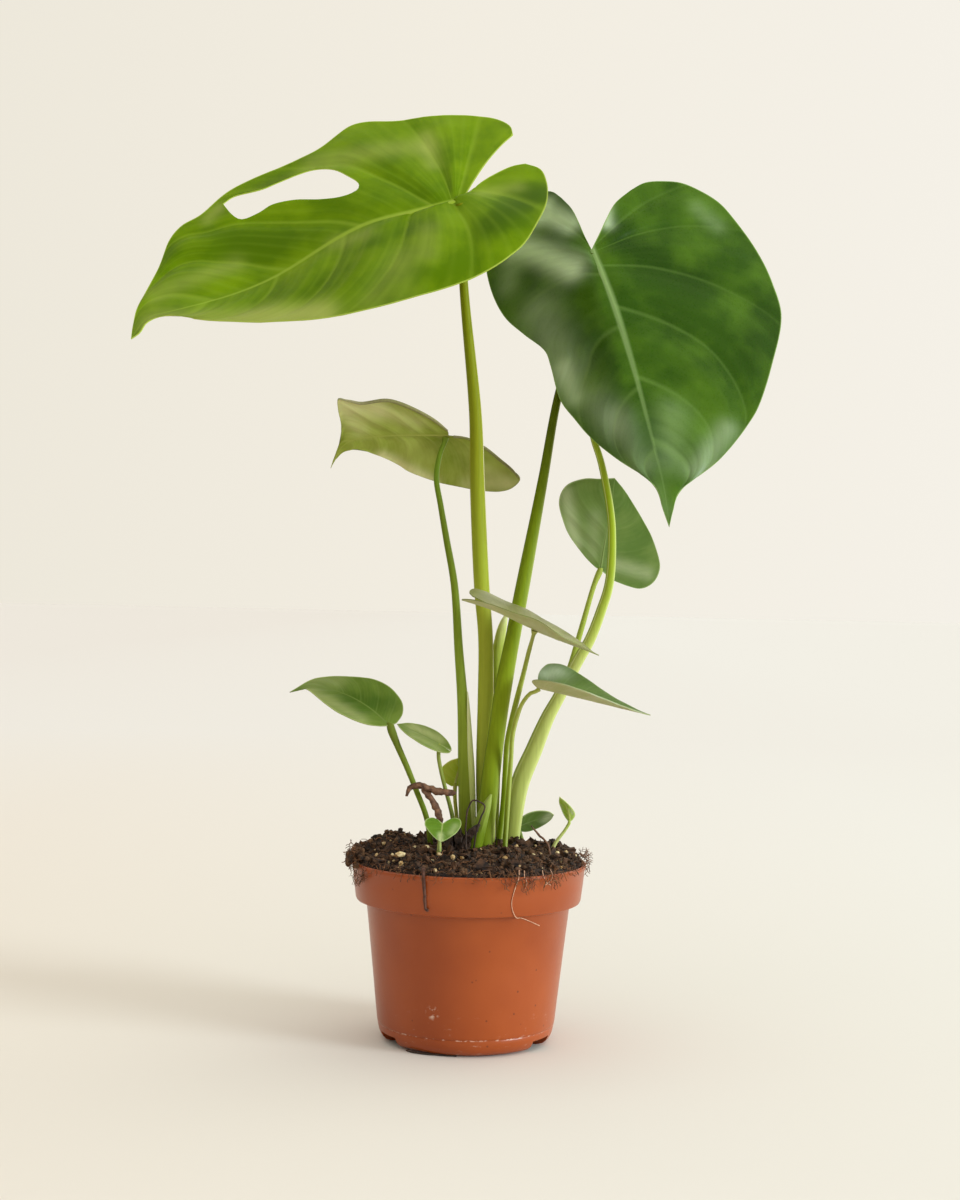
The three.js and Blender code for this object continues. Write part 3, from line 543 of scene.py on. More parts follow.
def soil_height(x, y):
    """The height of the soil's lumpy surface, in mm."""
    height = SOIL_EDGE_HEIGHT + SOIL_RISE * (1 - (x * x + y * y) / RIM_RADIUS**2)
    for heap_x, heap_y, rise, spread in SOIL_HEAPS:
        height += rise * math.exp(-((x - heap_x) ** 2 + (y - heap_y) ** 2) / spread**2)
    place = Vector((x, y, 0))
    height += 1.6 * noise.noise(place / 7) + 1.5 * noise.noise(place / 3.1)
    return height + 0.9 * noise.noise(place / 1.3)


print("height of the soil at the middle:", round(soil_height(0, 0), 1), "mm")

# %% [markdown]
# The bed is a square grid pressed into a disc. Its cells stay even, where a fan of triangles
# would crowd at the middle, and its outer row is a true circle. That row is extruded down
# and narrowed, so that the bed is a closed body inside the pot.

# %% Soil bed
SOIL_RADIUS = 57.5
SOIL_CELLS = 150
SOIL_SIDE = 12

across = np.linspace(-1, 1, SOIL_CELLS + 1)
square_x, square_y = np.meshgrid(across, across)
disc_x = square_x * np.sqrt(1 - square_y**2 / 2) * SOIL_RADIUS
disc_y = square_y * np.sqrt(1 - square_x**2 / 2) * SOIL_RADIUS
heights = np.vectorize(soil_height)(disc_x, disc_y)
soil = laid_grid("soil_bed", np.stack([disc_x, disc_y, heights], axis=-1))
work_on(soil)
bpy.ops.object.mode_set(mode="EDIT")
bpy.ops.mesh.select_all(action="DESELECT")
bpy.ops.mesh.select_mode(type="EDGE")
bpy.ops.mesh.select_non_manifold()
bpy.ops.mesh.extrude_region_move(TRANSFORM_OT_translate={"value": (0, 0, -SOIL_SIDE * MM)})
bpy.ops.transform.resize(value=(0.97, 0.97, 0))
bpy.ops.mesh.edge_face_add()
bpy.ops.object.mode_set(mode="OBJECT")
smooth(soil, 80)
print("soil bed:", len(soil.data.polygons), "faces")

# %% [markdown]
# Damp peat, bark and fibre are matt: they scatter light to all sides and show no highlight.
# What the eye reads is a fine mix of near black and brown, and a rough surface. One function
# makes them all from two colours and the size of a lump. The lumps of the noise are 2 to
# 6 mm wide, as bark and peat are, and its detail is finer still.

# %% Earth skins
def earth_skin(name, dark, light, size, roughness=0.9, spread=(0.38, 0.64), grain=0.7,
               relief=(1.0, 0.5)):
    """Damp bark, peat or fibre: matt, in two tones over lumps of a size in mm."""
    material, surface, add = new_material(name)
    place = add("TexCoord").outputs["Object"]
    spots = add("TexNoise", {"Vector": place, "Scale": scale_for(size), "Detail": 5.0,
                             "Roughness": grain})
    colour = add("ValToRGB", {"Fac": spots.outputs["Fac"]},
                 stops=[(spread[0], dark), (spread[1], light)])
    bumps = add("Bump", {"Height": spots.outputs["Fac"], "Strength": relief[0],
                         "Distance": relief[1] * MM})
    attach(material, surface, {"Base Color": colour.outputs["Color"], "Roughness": roughness,
                               "Normal": bumps.outputs["Normal"]})
    return material


soil.data.materials.append(earth_skin("damp_peat", "#0f0803", "#382313", 2.2))
settle(soil, "potting_soil", "soil")

# %% [markdown]
# What lies on the bed is modelled once, as a few low shapes with a few dozen faces, and then
# copied. A crumb is a small ball whose points are pushed about. A chip of bark is a block
# that is flattened, divided once and made ragged.

# %% Shapes of a crumb and a chip
def crumb_shape(name, seed, roughness):
    """A small irregular lump about 2 mm across."""
    start_clean()
    bpy.ops.mesh.primitive_ico_sphere_add(subdivisions=1, radius=1 * MM)
    lump = bpy.context.active_object
    edit(lump, (bpy.ops.transform.vertex_random, {"offset": roughness * MM, "seed": seed}))
    lump.name = name
    return lump


def chip_shape(name, seed):
    """A flake of bark, a flattened block with a ragged outline."""
    start_clean()
    bpy.ops.mesh.primitive_cube_add(size=2 * MM)
    chip = bpy.context.active_object
    edit(chip,
         (bpy.ops.transform.resize, {"value": (1, 0.6, 0.22)}),
         (bpy.ops.mesh.subdivide, {"number_cuts": 1}),
         (bpy.ops.transform.vertex_random, {"offset": 0.28 * MM, "seed": seed}))
    chip.name = name
    return chip


print("helpers for shapes: crumb_shape, chip_shape")

# %% [markdown]
# Each copy has its own mesh, and is turned and sized by a draw. The draw starts from a fixed
# seed, so that every run places each crumb alike. A place is drawn evenly over the disc: the
# square root keeps crumbs from crowding at the middle.

# %% Scattering
LUMP_SINK = 0.1
draw = random.Random(7)


def scatter(shapes, name, spots):
    """Copies of the shapes, one at each spot (x, y, z, size, turn), joined into one piece."""
    copies = []
    for number, (x, y, z, size, turn) in enumerate(spots):
        shape = shapes[number % len(shapes)]
        copy = shape.copy()
        copy.data = shape.data.copy()
        bpy.context.collection.objects.link(copy)
        place = Matrix.Translation(Vector((x, y, z)) * MM) @ turn.to_4x4()
        copy.data.transform(place @ Matrix.Diagonal((*size, 1)))
        copies.append(copy)
    for shape in shapes:
        bpy.data.objects.remove(shape)
    return join(copies, name)


def any_turn():
    """A rotation drawn evenly from all."""
    axis = Vector((draw.gauss(0, 1), draw.gauss(0, 1), draw.gauss(0, 1))).normalized()
    return Matrix.Rotation(draw.uniform(0, math.pi * 2), 3, axis)


def on_soil(reach=56.5):
    """A place on the soil, drawn evenly over its disc."""
    radius = reach * math.sqrt(draw.random())
    angle = draw.uniform(0, math.pi * 2)
    x, y = radius * math.cos(angle), radius * math.sin(angle)
    return x, y, soil_height(x, y)


def lumps(count, low, high):
    """Spots for lumps of a size between low and high, in mm. Most are small."""
    spots = []
    for _ in range(count):
        x, y, z = on_soil()
        size = low + (high - low) * draw.random() ** 2
        form = (size * draw.uniform(0.8, 1.3), size * draw.uniform(0.7, 1.1), size)
        spots.append((x, y, z + size * (0.5 - LUMP_SINK), form, any_turn()))
    return spots


print("helpers for spots: scatter, any_turn, on_soil, lumps")

# %% [markdown]
# The bed is covered with crumbs, then with chips of bark, a few of them large plates. Pale
# mineral grains come last. Those that stand out in the picture lie at their own places, and
# the small ones are drawn.

# %% Crumbs, chips and grains
BARK_PLATES = [(-21, -39), (7.5, -49.5), (-43, -27), (30, -37)]
GRAIN_PLACES = [(-27.2, -15.2), (-21, -23), (-43.2, -9.8), (-7.7, -39.2), (-3.3, -37), (-16.1, -51.8),
                (-14.7, -32.5), (24.6, -43.5), (23.8, -8.8), (33, -25.5), (44.7, -7), (49.5, -3),
                (54.1, -3), (46.7, -20.2), (-33.2, -38.5), (18, -34), (-46, -22)]
LARGE_GRAIN = (-34.1, -29.8)

crumbs = scatter([crumb_shape(f"crumb_{n}", n, 0.35) for n in range(5)], "soil_crumbs",
                 lumps(2300, 0.35, 1.7))
crumbs.data.materials.append(earth_skin("peat_crumbs", "#120903", "#664628", 4))
settle(crumbs, "potting_soil")
chips = scatter([chip_shape(f"chip_{n}", n + 3) for n in range(4)], "bark_chips", [
    *lumps(320, 1.0, 3.4),
    *((x, y, soil_height(x, y) + 0.6, (4.2, 4.2, 3.2), any_turn()) for x, y in BARK_PLATES)])
chips.data.materials.append(earth_skin("composted_bark", "#160c06", "#5e3e24", 6))
settle(chips, "potting_soil")
grains = scatter([crumb_shape(f"grain_{n}", n + 9, 0.15) for n in range(3)], "pale_grains",
                 [(*LARGE_GRAIN, soil_height(*LARGE_GRAIN) + 1.6, (3.4, 1.9, 1.8),
                   Matrix.Rotation(0.2, 3, "Z")),
                  *((x, y, soil_height(x, y) + 1.2, (draw.uniform(1.1, 1.6),) * 3, any_turn())
                    for x, y in GRAIN_PLACES),
                  *lumps(200, 0.3, 1.1)])
grains.data.materials.append(earth_skin("pale_mineral_grains", "#a3783c", "#ecd9a6", 3, 0.7))
settle(grains, "potting_soil")

# %% [markdown]
# A petiole is the stalk of one leaf: round, smooth and firm, thicker at its foot, where its
# sheath wraps the next one. A tube is a grid laid round a curve. The seam where the grid's
# sides meet is merged and its ends are filled. It faces away from the camera, and the map
# holds the share of the way round and of the way up, which the colours follow.

# %% Tubes
STEM_SIDES = 20
STEM_STEP = 2.5


def smooth_step(values, low, high):
    """0 below low, 1 above high, and an S-curve between them."""
    t = np.clip((values - low) / (high - low), 0, 1)
    return t * t * (3 - 2 * t)


def tube(name, path, sides=STEM_SIDES, step=STEM_STEP, ridges=()):
    """A tube along points (x, y, z, radius). A ridge is (angle, height, width, from, to)."""
    length = sum(math.dist(a[:3], b[:3]) for a, b in zip(path, path[1:]))
    rows = max(8, round(length / step))
    line = smooth_line(path, rows)
    centre, radius = line[:, None, :3], np.maximum(line[:, None, 3], 0.05)
    ahead = np.gradient(line[:, :3], axis=0)
    ahead /= np.linalg.norm(ahead, axis=1, keepdims=True)
    front = np.array([0, -1.0, 0]) + ahead * ahead[:, 1:2]
    front /= np.linalg.norm(front, axis=1, keepdims=True)
    side = np.cross(ahead, front)
    round_share = np.linspace(0, 1, sides + 1)[None, :]
    up_share = np.linspace(0, 1, rows + 1)[:, None]
    turn = 2 * math.pi * round_share + math.pi
    grown = radius + np.zeros_like(turn)
    for angle, height, width, low, high in ridges:
        away = (np.degrees(turn) - angle + 180) % 360 - 180
        rise = smooth_step(up_share, low, low + 0.08) * (1 - smooth_step(up_share, high - 0.12, high))
        grown = grown + height * np.exp(-(away / width) ** 2) * rise
    outward = np.cos(turn)[..., None] * front[:, None] + np.sin(turn)[..., None] * side[:, None]
    piece = laid_grid(name, centre + outward * grown[..., None])
    corner, _ = corner_cells(piece)
    write_map(piece, "stem_map",
              np.broadcast_to(round_share, (rows + 1, sides + 1)).reshape(-1)[corner],
              np.broadcast_to(up_share, (rows + 1, sides + 1)).reshape(-1)[corner])
    edit(piece, (bpy.ops.mesh.remove_doubles, {"threshold": 0.004 * MM}),
         (bpy.ops.mesh.fill_holes, {"sides": 0}))
    smooth(piece, 60)
    return piece


print("a tube has", STEM_SIDES, "sides and a ring every", STEM_STEP, "mm")

# %% [markdown]
# The skin of a petiole is firm, with a thin wax: it takes a soft highlight and lets a
# little light in, so that its shaded side still glows green. It is paler where an older
# sheath kept the light off. Bands up its side are painted: pale ones are painted highlights,
# most on the side towards the window, and dark ones are painted shade.

# %% Skin of a petiole
def living_skin(name, stops, highlight_shade_bands=(), streaks=0.16, roughness=0.5):
    """A petiole's skin: a colour that changes on the way up, streaks, and bands of painted highlight and
    painted shade.
    """
    material, surface, add = new_material(name)
    mapped = add("UVMap", uv_map="stem_map")
    split = add("SeparateXYZ", {"Vector": mapped.outputs["UV"]})
    colour = add("ValToRGB", {"Fac": split.outputs["Y"]}, stops=stops).outputs["Color"]
    place = add("TexCoord")
    # Fibres under the skin show as streaks 36 mm long. They are a tenth of a millimetre wide
    # on a real stalk, and are drawn 1.1 mm wide, because finer ones would not show.
    spacing = (scale_for(1.111), scale_for(1.111), scale_for(35.71))
    drawn_out = add("Mapping", {"Vector": place.outputs["Object"], "Scale": spacing})
    streak = add("TexNoise", {"Vector": drawn_out.outputs["Vector"], "Scale": 1.0, "Detail": 3.0})
    contrast = add("MapRange", {"Value": streak.outputs["Fac"], "From Min": 0.35,
                                "From Max": 0.65, "To Max": streaks})
    darker = add("Mix", {"Factor": contrast.outputs["Result"], 6: colour,
                         7: "#4a5a10"}, blend_type="MULTIPLY")
    colour = darker.outputs[2]
    # A band is a painted highlight or painted shade: a pale or dark stripe up the stalk, with soft sides.
    for place_round, width, tint, strength in highlight_shade_bands:
        shifted = add("Math", {0: split.outputs["X"], 1: place_round}, operation="SUBTRACT")
        away = add("Math", {0: shifted.outputs[0]}, operation="ABSOLUTE")
        mask = add("MapRange", {"Value": away.outputs[0], "From Max": width,
                                "To Min": strength, "To Max": 0.0},
                   interpolation_type="SMOOTHSTEP")
        banded = add("Mix", {"Factor": mask.outputs["Result"], 6: colour, 7: tint})
        colour = banded.outputs[2]
    relief = add("Bump", {"Height": streak.outputs["Fac"], "Strength": 0.3, "Distance": 0.12 * MM})
    attach(material, surface, {"Base Color": colour, "Roughness": roughness, "IOR": 1.42,
                               "Specular IOR Level": 0.09,
                               "Normal": relief.outputs["Normal"], "Subsurface Weight": 0.12,
                               "Subsurface Radius": (0.6, 1.0, 0.2), "Subsurface Scale": 0.002})
    return material


print("helper for skins of stalks: living_skin")

# %% [markdown]
# Each petiole has its own line, thickness and colour. `path` repeats the centre line of the
# frame's solid, as x, y, z and radius in mm, and runs on into the blade. `stops` are
# colours from the foot to the top, a band, a painted highlight or painted shade, is (share of
# the way round, width, colour, strength), and a ridge is (angle, height, width, from, to).
# The four tall petioles come first.

# %% Tall petioles
STALKS = {
    "petiole_left_large": {
        "path": [(8.6, 3, 97, 4.7), (7.4, 2.5, 137, 4.8), (6.8, 2.5, 172.5, 4.1), (6, 2, 204.5, 3.7),
            (3.5, 2, 231, 3.9), (0, 1.5, 285.5, 3.7), (-1.5, 1, 318, 3.2), (-9, 0.5, 385.5, 2.2),
            (-11.2, 0, 424, 2), (-11.7, 0, 426.4, 2.6)],
        "slot": "petiole_olive",
        "stops": [(0, "#8f9a3c"), (0.2, "#a5af3c"), (0.33, "#a3aa38"), (0.46, "#98a32c"), (0.63, "#848a1a"),
            (0.82, "#7c8410"), (1, "#7a820e")],
        "highlight_shade_bands": [(0.74, 0.06, "#cfc39e", 0.85), (0.28, 0.08, "#a0a050", 0.4)],
        "ridges": [(82, 0.5, 9, 0.02, 1.1), (-60, 0.35, 12, 0, 0.45)],
    },
    "petiole_right_large": {
        "path": [(7, -9, 97, 4.8), (9.5, -8.5, 127.5, 4.8), (13, -8, 159, 4.3), (16, -6.5, 182, 4.3),
            (20, -5, 205.5, 3.8), (24.5, -1, 231.5, 3.6), (34, 8, 286.5, 2.6), (41, 17, 329.5, 2.1),
            (51, 20, 371, 1.8), (57.6, 23.6, 405.2, 1.6), (57.9, 22.8, 407.4, 2.2)],
        "stops": [(0, "#6c7c14"), (0.1, "#7a8c1a"), (0.26, "#86981a"), (0.4, "#7f921c"), (0.55, "#6c7e0c"),
            (0.7, "#515e04"), (1, "#4c5a04")],
        "highlight_shade_bands": [(0.74, 0.16, "#a9b065", 0.65), (0.27, 0.1, "#46560a", 0.4)],
        "ridges": [(-30, 0.5, 10, 0, 0.42), (60, 0.4, 9, 0, 0.5)],
    },
    "petiole_mid_left": {
        "path": [(-1, 0, 97, 4.3), (-2.5, 0.5, 137, 4.1), (-5, 1, 172.5, 2.8), (-7.5, 2.5, 198, 2.3),
            (-10.5, 4.5, 231.5, 1.9), (-15, 6, 254.5, 1.7), (-18.5, 7, 272.5, 1.5), (-21, 7.5, 286.5, 1.4),
            (-19.5, 8, 298.5, 1.3), (-17, 9.3, 305.6, 1.3), (-16.7, 10, 307.3, 1.7)],
        "stops": [(0, "#76861c"), (0.18, "#8a9a30"), (0.39, "#8fa238"), (0.57, "#768824"), (0.8, "#67781f"),
            (0.93, "#6a8522"), (1, "#72882a")],
        "highlight_shade_bands": [(0.76, 0.14, "#cdd4a0", 0.55)],
        "ridges": [(75, 0.6, 16, 0, 0.36), (20, 0.3, 8, 0, 0.3)],
    },
    "petiole_hidden": {
        "path": [(21.3, 6, 99, 4.4), (25.2, 6.5, 129, 4.8), (32.2, 7, 147, 4.4), (39, 7.5, 164, 3.6),
            (44.5, 8, 174.5, 3.2), (54, 8.5, 193.5, 3), (60, 9, 204.5, 2.8), (65.5, 9.5, 219.5, 2.6),
            (69.5, 9.5, 234, 2.4), (70.5, 10.5, 259, 2.1), (69, 11, 274, 2), (64, 11.5, 297, 1.8),
            (60, 12, 309, 1.7), (58.8, 18, 319, 1.7), (60.3, 26.5, 329.5, 1.6), (63.6, 29, 335.8, 1.5),
            (64.2, 28.4, 337.4, 1.8)],
        "slot": "petiole_bright",
        "stops": [(0, "#a3ac4c"), (0.2, "#b4bc66"), (0.4, "#b7be68"), (0.5, "#a8b448"), (0.62, "#9db02c"),
            (0.75, "#98aa24"), (0.85, "#a3b436"), (1, "#98a62e")],
        "highlight_shade_bands": [(0.7, 0.14, "#cdd48a", 0.6), (0.27, 0.11, "#74860c", 0.8), (0.37, 0.03, "#d6dc9c", 0.7)],
        "ridges": [(40, 0.5, 10, 0, 0.35), (-50, 0.45, 9, 0, 0.3)],
    },
}
print("tall petioles:", len(STALKS))

# %% [markdown]
# The short petioles are as thin as a knitting needle or thinner, and bend under their
# leaves. A petiole without a slot in the table is passed the common one, petiole_green.

# %% Short petioles
STALKS.update({
    "petiole_upright": {
        "path": [(23, 17, 97, 1.6), (26, 20, 120, 1.6), (32, 24.5, 140.5, 1.6), (41, 29, 164, 1.6),
            (50, 33.5, 185, 1.6), (57, 38, 209, 1.5), (64, 42.5, 234, 1.4), (66.6, 43.6, 240.3, 1.7),
            (67.2, 43.4, 242.6, 1.2)],
        "stops": [(0, "#7c8e24"), (0.5, "#8c9c30"), (1, "#a3ae4c")],
    },
    "petiole_edge_on": {
        "path": [(15, -5, 97, 1.5), (17, -9, 123, 1.5), (17.5, -12, 139, 1.4), (18, -16, 152, 1.4),
            (20, -20, 164, 1.4), (22.5, -26, 176, 1.4), (25, -32, 187.5, 1.2), (27.3, -39, 199, 1.1),
            (29.6, -44.2, 208.8, 1.2), (29.8, -44.6, 209.8, 1.9)],
        "stops": [(0, "#6c7e14"), (0.4, "#768a14"), (0.8, "#95a03c"), (1, "#adb062")],
        "highlight_shade_bands": [(0.66, 0.12, "#bcc27a", 0.5)],
    },
    "petiole_low_right": {
        "path": [(18, -13, 97, 1.3), (19, -18, 124, 1.3), (20, -23, 144.5, 1.1), (20.5, -26.5, 157, 1.1),
            (22.5, -28.5, 166.5, 1.1), (25, -30.5, 173.5, 1), (29, -31.5, 178.5, 1), (32.3, -32, 179.6, 1),
            (33.2, -32, 180.6, 1.2)],
        "stops": [(0, "#6c7e18"), (0.5, "#8c9c30"), (1, "#aab050")],
        "highlight_shade_bands": [(0.6, 0.12, "#c4cc84", 0.45)],
    },
    "petiole_low_left": {
        "path": [(-19.5, -8, 97, 1.4), (-21.8, -9, 112.5, 1.4), (-27.6, -11, 127.5, 1.4),
            (-32.4, -12, 139, 1.5), (-37.4, -13, 150, 1.7), (-40.4, -14.3, 157.4, 2.1),
            (-41.4, -14.7, 160.4, 1.7), (-42.4, -14.4, 161.2, 0.7)],
        "slot": "petiole_bright",
        "stops": [(0, "#5c6e1c"), (0.4, "#768a26"), (0.8, "#6f7c28"), (1, "#6a782a")],
    },
    "petiole_small_left": {
        "path": [(-6.5, -11, 97, 1.1), (-9, -11.2, 115, 1.1), (-12.5, -11.5, 127.5, 1), (-15, -12, 137, 1),
            (-16.5, -12, 145, 1), (-16.2, -12, 149.2, 1), (-16.4, -12, 151, 0.7)],
        "stops": [(0, "#5c7020"), (0.5, "#7c8a3a"), (1, "#9aa350")],
    },
    "petiole_small_middle": {
        "path": [(-5.5, 9, 97, 1), (-7, 9, 112.5, 1), (-8, 9, 122, 1), (-8, 9.4, 127.6, 1),
            (-7.9, 9.2, 129.2, 0.6)],
        "slot": "leaf_pale",
        "stops": [(0, "#9aa24a"), (1, "#b4b457")],
    },
    "petiole_base_left": {
        "path": [(-15, -26.5, 95, 1.1), (-14.8, -29, 100, 1.1), (-14.6, -30.6, 104, 0.9),
            (-14, -28, 109, 0.8), (-13.5, -26, 112, 0.8)],
        "slot": "petiole_bright",
        "stops": [(0, "#b9c27a"), (0.5, "#b6c070"), (1, "#9fb060")],
    },
    "petiole_base_right": {
        "path": [(28, 15.8, 95, 1), (27, 15.8, 101, 1), (25.6, 15.4, 104.7, 1)],
        "stops": [(0, "#7c8e40"), (1, "#7c8e40")],
    },
    "petiole_seedling": {
        "path": [(42, -5, 93, 0.9), (42.5, -5, 98, 0.9), (44.5, -5, 102, 0.9), (48.5, -5, 107.5, 0.8),
            (50.9, -5, 111.9, 0.8), (50.9, -5.4, 113.6, 0.5)],
        "slot": "leaf_young",
        "stops": [(0, "#c3c486"), (0.5, "#c9cc84"), (1, "#a6b650")],
    },
})
print("petioles:", len(STALKS))

# %% [markdown]
# A new leaf comes up rolled inside a pale sheath, which the older petiole beside it opens
# to let out. The low one in front is drawn here only: the frame has no solid of its own for
# it. A third, green sheath wraps the foot of the plant.

# %% Sheaths
STALKS.update({
    "sheath_new_shoot": {
        "path": [(12, 13.5, 97, 3), (12.3, 13, 140, 3), (12.3, 11, 172.5, 3), (12.3, 9.5, 191, 3),
            (13, 8.5, 201, 2.8), (15, 7.5, 211.5, 2.1), (17, 7, 218, 0.4)],
        "slot": "sheath_pale",
        "stops": [(0, "#8f9c3c"), (0.72, "#94a236"), (0.86, "#a8b44c"), (0.94, "#c6cd78"), (1, "#dfe0a8")],
    },
    "sheath_new_shoot_low": {
        "path": [(1.6, -1, 97, 1.9), (1.0, -1.8, 115, 2.0), (0.3, -2.2, 132, 1.9), (-0.8, -2.4, 152, 1.4),
            (-2.0, -2, 170, 0.7), (-2.5, -1.5, 177, 0.2)],
        "slot": "sheath_pale", "stand_in": False,
        "stops": [(0, "#bcc870"), (0.5, "#ccd680"), (1, "#dde0ac")],
    },
    "sheath_green": {
        "path": [(2, -18, 96, 3.7), (2.5, -18, 98.5, 3.7), (4, -18, 106, 3.7), (6, -18, 113.5, 3.2),
            (8.5, -18, 121, 2.2), (10.5, -17.6, 126.5, 0.5)],
        "slot": "petiole_bright",
        "stops": [(0, "#5f7212"), (0.5, "#6b7f18"), (1, "#9aa852")],
        "ridges": [(20, 0.5, 9, 0, 0.9), (-40, 0.4, 9, 0, 0.9)],
    },
})
print("petioles and sheaths:", len(STALKS))

# %% [markdown]
# Every stalk grows out of the soil, so its line is lengthened by 10 mm below the lumpy
# surface. One loop then makes them all: a tube along the line, a skin of its own, and the
# plain solid that it stands in for.

# %% Growing the stalks
ROOT_DEPTH = 10


def rooted(path, depth=ROOT_DEPTH):
    """A path with one more point below its first, in the soil."""
    x, y, z, radius = path[0]
    return [(x, y, z - depth, radius), *path]


for node, stalk in STALKS.items():
    stem = tube("fine_" + node, rooted(stalk["path"]), ridges=stalk.get("ridges", ()))
    stem.data.materials.append(living_skin("skin_" + node, stalk["stops"], stalk.get("highlight_shade_bands", ())))
    stands_for = [node] if stalk.get("stand_in", True) else []
    settle(stem, stalk.get("slot", "petiole_green"), *stands_for)
print("stalks made:", ", ".join(STALKS))

# %% [markdown]
# A blade grows in its own plane: s runs along the midrib from the stalk to the tip, w runs
# across it to the left half, and h is how far the surface stands off that plane. Side veins
# leave the rib every few centimetres and bend towards the tip; in the lobes they fan out
# from the stalk. A number that grows from vein to vein tells the mesh and its skin alike
# where they are.

# %% Side veins
def vein_number(up, out, veins):
    """Which side vein runs through a place of one half: whole numbers lie on a vein.

    `up` is the share of the way to the tip, `out` from the rib to the margin. Each vein is
    given by its share at the rib and its share at the margin.
    """
    if isinstance(veins, int):
        veins = [(0.85 * n / veins + 0.01, 0.85 * n / veins + 0.08 + 0.9 / veins) for n in range(veins)]
    levels = [np.full_like(out, -0.1), *(start + (end - start) * out for start, end in veins),
              np.full_like(out, 1.1)]
    number = np.full(np.broadcast(up, out).shape, -0.6)
    for count, (low, high) in enumerate(zip(levels, levels[1:])):
        share = np.clip((up - low) / np.maximum(high - low, 1e-3), 0, 1)
        first, last = count == 0, count == len(levels) - 2
        number = number + share * (0.6 if first or last else 1.0)
    return number


print("vein number half way out:", vein_number(np.array([0.5]), np.array([0.5]), 4).round(2))

# %% [markdown]
# A leaf is never flat. Its large form is a droop towards the tip, a fold along the rib, a
# curl of each half and a few swells. Its fine form is quilted: the surface dips along the
# side veins and swells between them, and flattens out at the rib and at the margin.

# %% Height of a blade
def blade_height(blade, s, w):
    """The blade's large form: droop towards the tip, fold along the rib, curl and swells."""
    soft = blade.get("soft", 6)
    height = blade.get("droop", 0) * s * s
    height = height + blade.get("fold", 0) * (np.sqrt(w * w + soft * soft) - soft)
    curl_left, curl_right = blade.get("curl", (0, 0))
    height = height + np.where(w > 0, curl_left, curl_right) * w * w
    for at_s, at_w, rise, spread in blade.get("swells", ()):
        height = height + rise * np.exp(-((s - at_s) ** 2 + (w - at_w) ** 2) / spread**2)
    return height


def blade_relief(blade, number, rib_away, edge_away):
    """The fine form: dips along the side veins and soft pleats between them."""
    size = blade["size"]
    fade = smooth_step(rib_away, 0, 0.07 * size) * (0.25 + 0.75 * smooth_step(edge_away, 0, 0.08 * size))
    from_vein = np.abs((number + 0.5) % 1 - 0.5)
    swell = blade["pleat"] * (0.5 - 0.5 * np.cos(2 * math.pi * number))
    dip = -0.45 * blade["pleat"] * np.exp(-(from_vein / 0.05) ** 2)
    ripple = (0.09 * np.cos(17 * number + 2 * np.sin(5 * number))
              + 0.05 * np.cos(38 * number + 3 * np.sin(3.3 * number)))
    return fade * (swell + dip + ripple * blade["pleat"])


print("relief between two veins:", blade_relief({"size": 60, "pleat": 1}, 2.5, 30.0, 30.0).round(2), "mm")

# %% [markdown]
# Painted sheen and painted shade lie on a leaf in soft patches that no noise would place
# well. They are drawn in a few strokes with soft sides, and kept at the vertices.

# %% Soft strokes
def soft_strokes(strokes, s, w):
    """A number from 0 to 1, drawn in strokes (from s, w, to s, w, radius, strength)."""
    mask = np.zeros_like(s)
    for s0, w0, s1, w1, radius, strength in strokes:
        way = np.array([s1 - s0, w1 - w0])
        share = np.clip(((s - s0) * way[0] + (w - w0) * way[1]) / max(way @ way, 1e-6), 0, 1)
        away = np.hypot(s - s0 - share * way[0], w - w0 - share * way[1])
        mask = mask + strength * np.exp(-(away / radius) ** 2)
    return np.minimum(mask, 1)


print("one stroke:", soft_strokes([(0, 0, 10, 0, 5, 0.8)], np.array([0, 5, 20]), np.zeros(3)).round(2))

# %% [markdown]
# Three angles put the blade's plane into the plant: the heading of its tip, how far the tip
# is lifted, and how far the left half is lifted.

# %% Placing a blade
def blade_turn(blade):
    """The matrix that takes a point (s, w, h) of a blade to its place in mm."""
    heading, pitch, roll = (math.radians(angle) for angle in blade["turn"])
    return np.array(Matrix.Rotation(heading, 3, "Z") @ Matrix.Rotation(-pitch, 3, "Y")
                    @ Matrix.Rotation(roll, 3, "X"))


def in_place(blade, s, w, h):
    """Points of the blade's own plane as points of the plant, in mm."""
    return np.stack([s, w, h], axis=-1) @ blade_turn(blade).T + np.array(blade["at"])


print("a tip lifted by 30 degrees:", blade_turn({"turn": (0, 30, 0)})[:, 0].round(2))

# %% [markdown]
# Each half of a blade is drawn by three lines: the rib, the margin from the lobe round to
# the tip, and the edge of the notch at the stalk. A patch is stretched between them, so
# that its rows end on the outline and no cell is cut.

# %% Half a blade
def half_patch(blade, half, shares, rows):
    """One half of a blade as rows of points (s, w) from the rib to the margin."""
    rib = smooth_line(blade["rib"], rows, 2)
    margin = smooth_line(half["margin"], rows, 2)
    notch = smooth_line(half["notch"], 200, 2)
    notch = np.stack([np.interp(shares, np.linspace(0, 1, 201), column) for column in notch.T],
                     axis=1)
    b = shares[None, :, None]
    a = np.linspace(0, 1, rows + 1)[:, None, None]
    stray = notch[None] - (1 - b) * rib[0] - b * margin[0]
    return (1 - b) * rib[:, None] + b * margin[:, None] + (1 - a) * stray


print("helper for halves: half_patch")

# %% [markdown]
# The two halves make one grid, with the rib in its middle column. The grid gets its height,
# and then its maps: the vein number and the way from the rib, which the skin turns into
# veins, and five numbers at each vertex. Columns crowd towards the rib, where the form is
# finest.

# %% Sheet of a blade
def rib_width(blade, up_share):
    """Half the width of the midrib, in mm, from the stalk to the tip."""
    return blade["rib_size"] * (1 - up_share) ** 1.2 + 0.15


